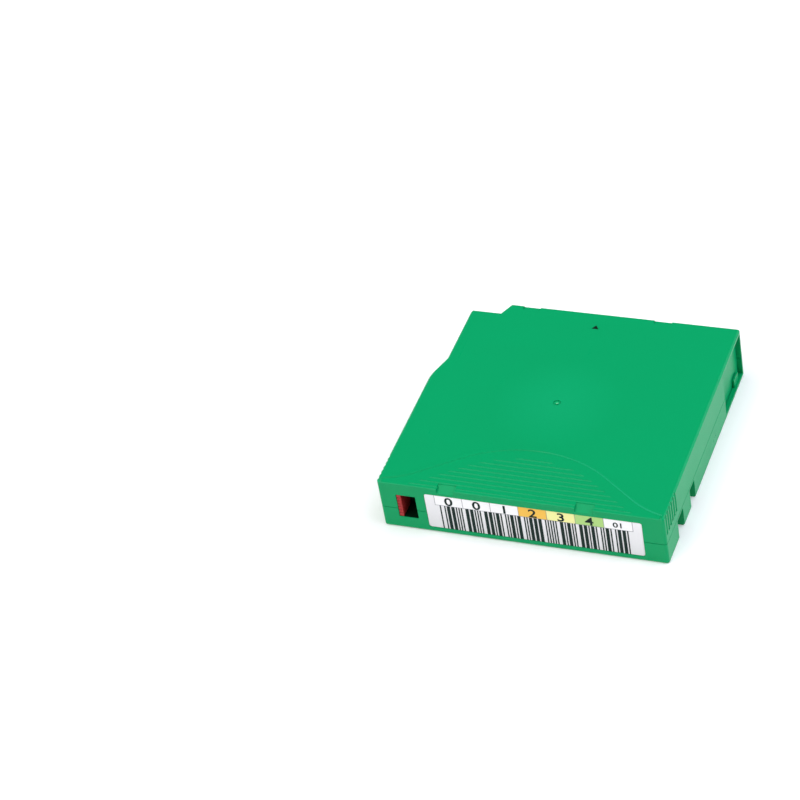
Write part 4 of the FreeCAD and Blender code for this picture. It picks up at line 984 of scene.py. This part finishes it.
class CARTRIDGE_OT_leader(bpy.types.Operator):
    """Finishes of the leader pin, its clip and the case screws"""
    bl_idname = "cartridge.leader"
    bl_label = "Leader pin and screws"

    def execute(self, context):
        colours = context.scene.cartridge_colours
        dress("leader_pin", turned_steel("pin_steel", colours.pin, roughness=0.20,
                                         centre=middle("leader_pin"), pitch=0.0001))
        dress("leader_clip", moulded_plastic("clip_plastic", colours.clip, roughness=0.45))
        dress("case_screws", steel("screw_steel", colours.screw, roughness=0.38,
                                   scales=SCREW_LINES))
        return {"FINISHED"}


BOARD_THICKNESS = 0.0008
BOARD_LEAN = math.radians(-45)
TRACK_MARGIN = 0.0006     # from the board's edges to the outer turn
TRACK_BEVEL = 0.00005


class CARTRIDGE_OT_board(bpy.types.Operator):
    """Finishes of the memory board and its chip, and the board's copper turns"""
    bl_idname = "cartridge.board"
    bl_label = "Memory board"

    def execute(self, context):
        colours = context.scene.cartridge_colours
        dress("memory_board", solder_mask("board_laminate", colours.board))
        dress("memory_chip", moulded_plastic("chip_epoxy", colours.chip, roughness=0.55))
        self.coil(colours, context.scene.cartridge_trim)
        return {"FINISHED"}

    def coil(self, colours, trim):
        """Square copper turns round the chip, on the board's sloping face."""
        low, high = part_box("memory_board")
        width = high.x - low.x
        length = (high.y - low.y) * math.sqrt(2.0) - BOARD_THICKNESS
        half = trim.track_width / 2
        foot = BOARD_THICKNESS / 2
        pieces = []
        for turn in range(trim.track_turns):
            inset = TRACK_MARGIN + turn * 2 * trim.track_width
            x = width / 2 - inset
            y = length / 2 - inset
            for side in (-1, 1):
                for x0, y0, x1, y1 in ((-x, side * y - half, x, side * y + half),
                                       (side * x - half, -y, side * x + half, y)):
                    pieces.append(block("track", (x0, y0, foot),
                                        (x1, y1, foot + trim.track_rise), TRACK_BEVEL,
                                        "Z"))
        piece = join("board_coil", pieces)
        piece.matrix_world = (Matrix.Translation(middle("memory_board"))
                              @ Matrix.Rotation(BOARD_LEAN, 4, "X"))
        settle(piece)
        copper = steel("track_copper", colours.copper, roughness=0.36, scales=COPPER_GRAIN)
        wear(piece, copper, "case")


FLOOR_SIZE = 8.0
SUNS = (                  # name, direction, strength, spread in degrees, tint
    ("key", (-0.45, -0.58, 0.68), 0.37, 90, (1.0, 1.0, 1.0)),
    ("glint", (-0.35, -0.64, 0.68), 0.12, 12, (1.0, 1.0, 1.0)),
    ("top", (-0.05, -0.05, 1.00), 0.46, 70, (1.0, 1.0, 1.0)),
    ("side", (0.75, 0.30, 0.55), 0.82, 80, (0.84, 0.82, 1.0)),
)


class CARTRIDGE_OT_studio(bpy.types.Operator):
    """Pale floor, soft lights and the camera"""
    bl_idname = "cartridge.studio"
    bl_label = "Studio"

    def execute(self, context):
        studio = context.scene.cartridge_studio
        context.scene.view_settings.view_transform = "Standard"
        self.floor(studio)
        self.sky(context.scene, studio)
        self.lights()
        self.camera(context.scene, studio)
        return {"FINISHED"}

    def floor(self, studio):
        """Wide pale floor under the cartridge."""
        deselect()
        bpy.ops.mesh.primitive_plane_add(size=FLOOR_SIZE, location=(0, 0, 0))
        floor = settle(bpy.context.object)
        floor.name = "studio_floor"
        finish = Finish("studio_floor")
        haze = finish.noise(3.0)
        finish.surface(Base_Color=finish.blend(haze * 0.08, rgba(studio.floor),
                                               shaded(studio.floor, 0.94)),
                       Roughness=haze * 0.1 + 0.55, Emission_Color=rgba(studio.floor),
                       Emission_Strength=studio.floor_glow)
        floor.data.materials.append(finish.material)

    def sky(self, scene, studio):
        """Even pale surroundings."""
        world = bpy.data.worlds.new("studio_sky")
        world.use_nodes = True
        backdrop = world.node_tree.nodes["Background"]
        backdrop.inputs["Color"].default_value = (1.0, 1.0, 1.0, 1.0)
        backdrop.inputs["Strength"].default_value = studio.sky
        scene.world = world

    def lights(self):
        """Soft lights from the left and above, and a cooler one from the door's side."""
        for name, towards, strength, spread, tint in SUNS:
            deselect()
            bpy.ops.object.light_add(type="SUN", location=Vector(towards))
            lamp = bpy.context.object
            lamp.name = "studio_" + name
            lamp.data.angle = math.radians(spread)
            lamp.data.energy = strength * math.pi
            lamp.data.color = tint
            lamp.rotation_euler = Vector(towards).to_track_quat("Z", "Y").to_euler()

    def camera(self, scene, studio):
        """Camera from its target, angles and distance."""
        turn = (Matrix.Rotation(studio.azimuth, 4, "Z")
                @ Matrix.Rotation(math.radians(90) - studio.elevation, 4, "X")
                @ Matrix.Rotation(studio.roll, 4, "Z"))
        deselect()
        bpy.ops.object.camera_add(location=(0, 0, 0))
        camera = bpy.context.object
        camera.name = "studio_camera"
        camera.matrix_world = (Matrix.Translation(studio.target) @ turn
                               @ Matrix.Translation((0, 0, studio.distance)))
        camera.data.lens = studio.lens
        camera.data.sensor_width = 36.0
        camera.data.clip_start = 0.01
        scene.camera = camera


# ---------------------------------------------------------------- sidebar
GROUPS = {"cartridge_colours": CartridgeColours, "cartridge_label": LabelSizes,
          "cartridge_trim": TrimSizes, "cartridge_springs": SpringSizes,
          "cartridge_studio": StudioSettings}
OPERATORS = (CARTRIDGE_OT_case, CARTRIDGE_OT_gate, CARTRIDGE_OT_arrow, CARTRIDGE_OT_label,
             CARTRIDGE_OT_tab, CARTRIDGE_OT_reel, CARTRIDGE_OT_brake, CARTRIDGE_OT_springs,
             CARTRIDGE_OT_leader, CARTRIDGE_OT_board, CARTRIDGE_OT_studio)


class CARTRIDGE_PT_panel(bpy.types.Panel):
    """Steps that dress the cartridge"""
    bl_label = "Data Tape Cartridge"
    bl_idname = "CARTRIDGE_PT_panel"
    bl_space_type = "VIEW_3D"
    bl_region_type = "UI"
    bl_category = "Cartridge"

    def draw(self, context):
        layout = self.layout
        for step in OPERATORS:
            layout.operator(step.bl_idname)
        for group in GROUPS:
            settings = getattr(context.scene, group)
            box = layout.box()
            for name in settings.bl_rna.properties.keys():
                if name not in ("rna_type", "name"):
                    box.prop(settings, name)


CLASSES = tuple(GROUPS.values()) + OPERATORS + (CARTRIDGE_PT_panel,)


def register():
    """Makes the settings and steps known to Blender."""
    for item in CLASSES:
        bpy.utils.register_class(item)
    for name, group in GROUPS.items():
        setattr(bpy.types.Scene, name, bpy.props.PointerProperty(type=group))


def unregister():
    """Takes them away again."""
    for name in GROUPS:
        delattr(bpy.types.Scene, name)
    for item in reversed(CLASSES):
        bpy.utils.unregister_class(item)


def main():
    """Dresses the cartridge."""
    register()
    bpy.ops.cartridge.case()
    bpy.ops.cartridge.gate()
    bpy.ops.cartridge.arrow()
    bpy.ops.cartridge.label()
    bpy.ops.cartridge.tab()
    bpy.ops.cartridge.reel()
    bpy.ops.cartridge.brake()
    bpy.ops.cartridge.springs()
    bpy.ops.cartridge.leader()
    bpy.ops.cartridge.board()
    bpy.ops.cartridge.studio()


if __name__ == "__main__":
    main()
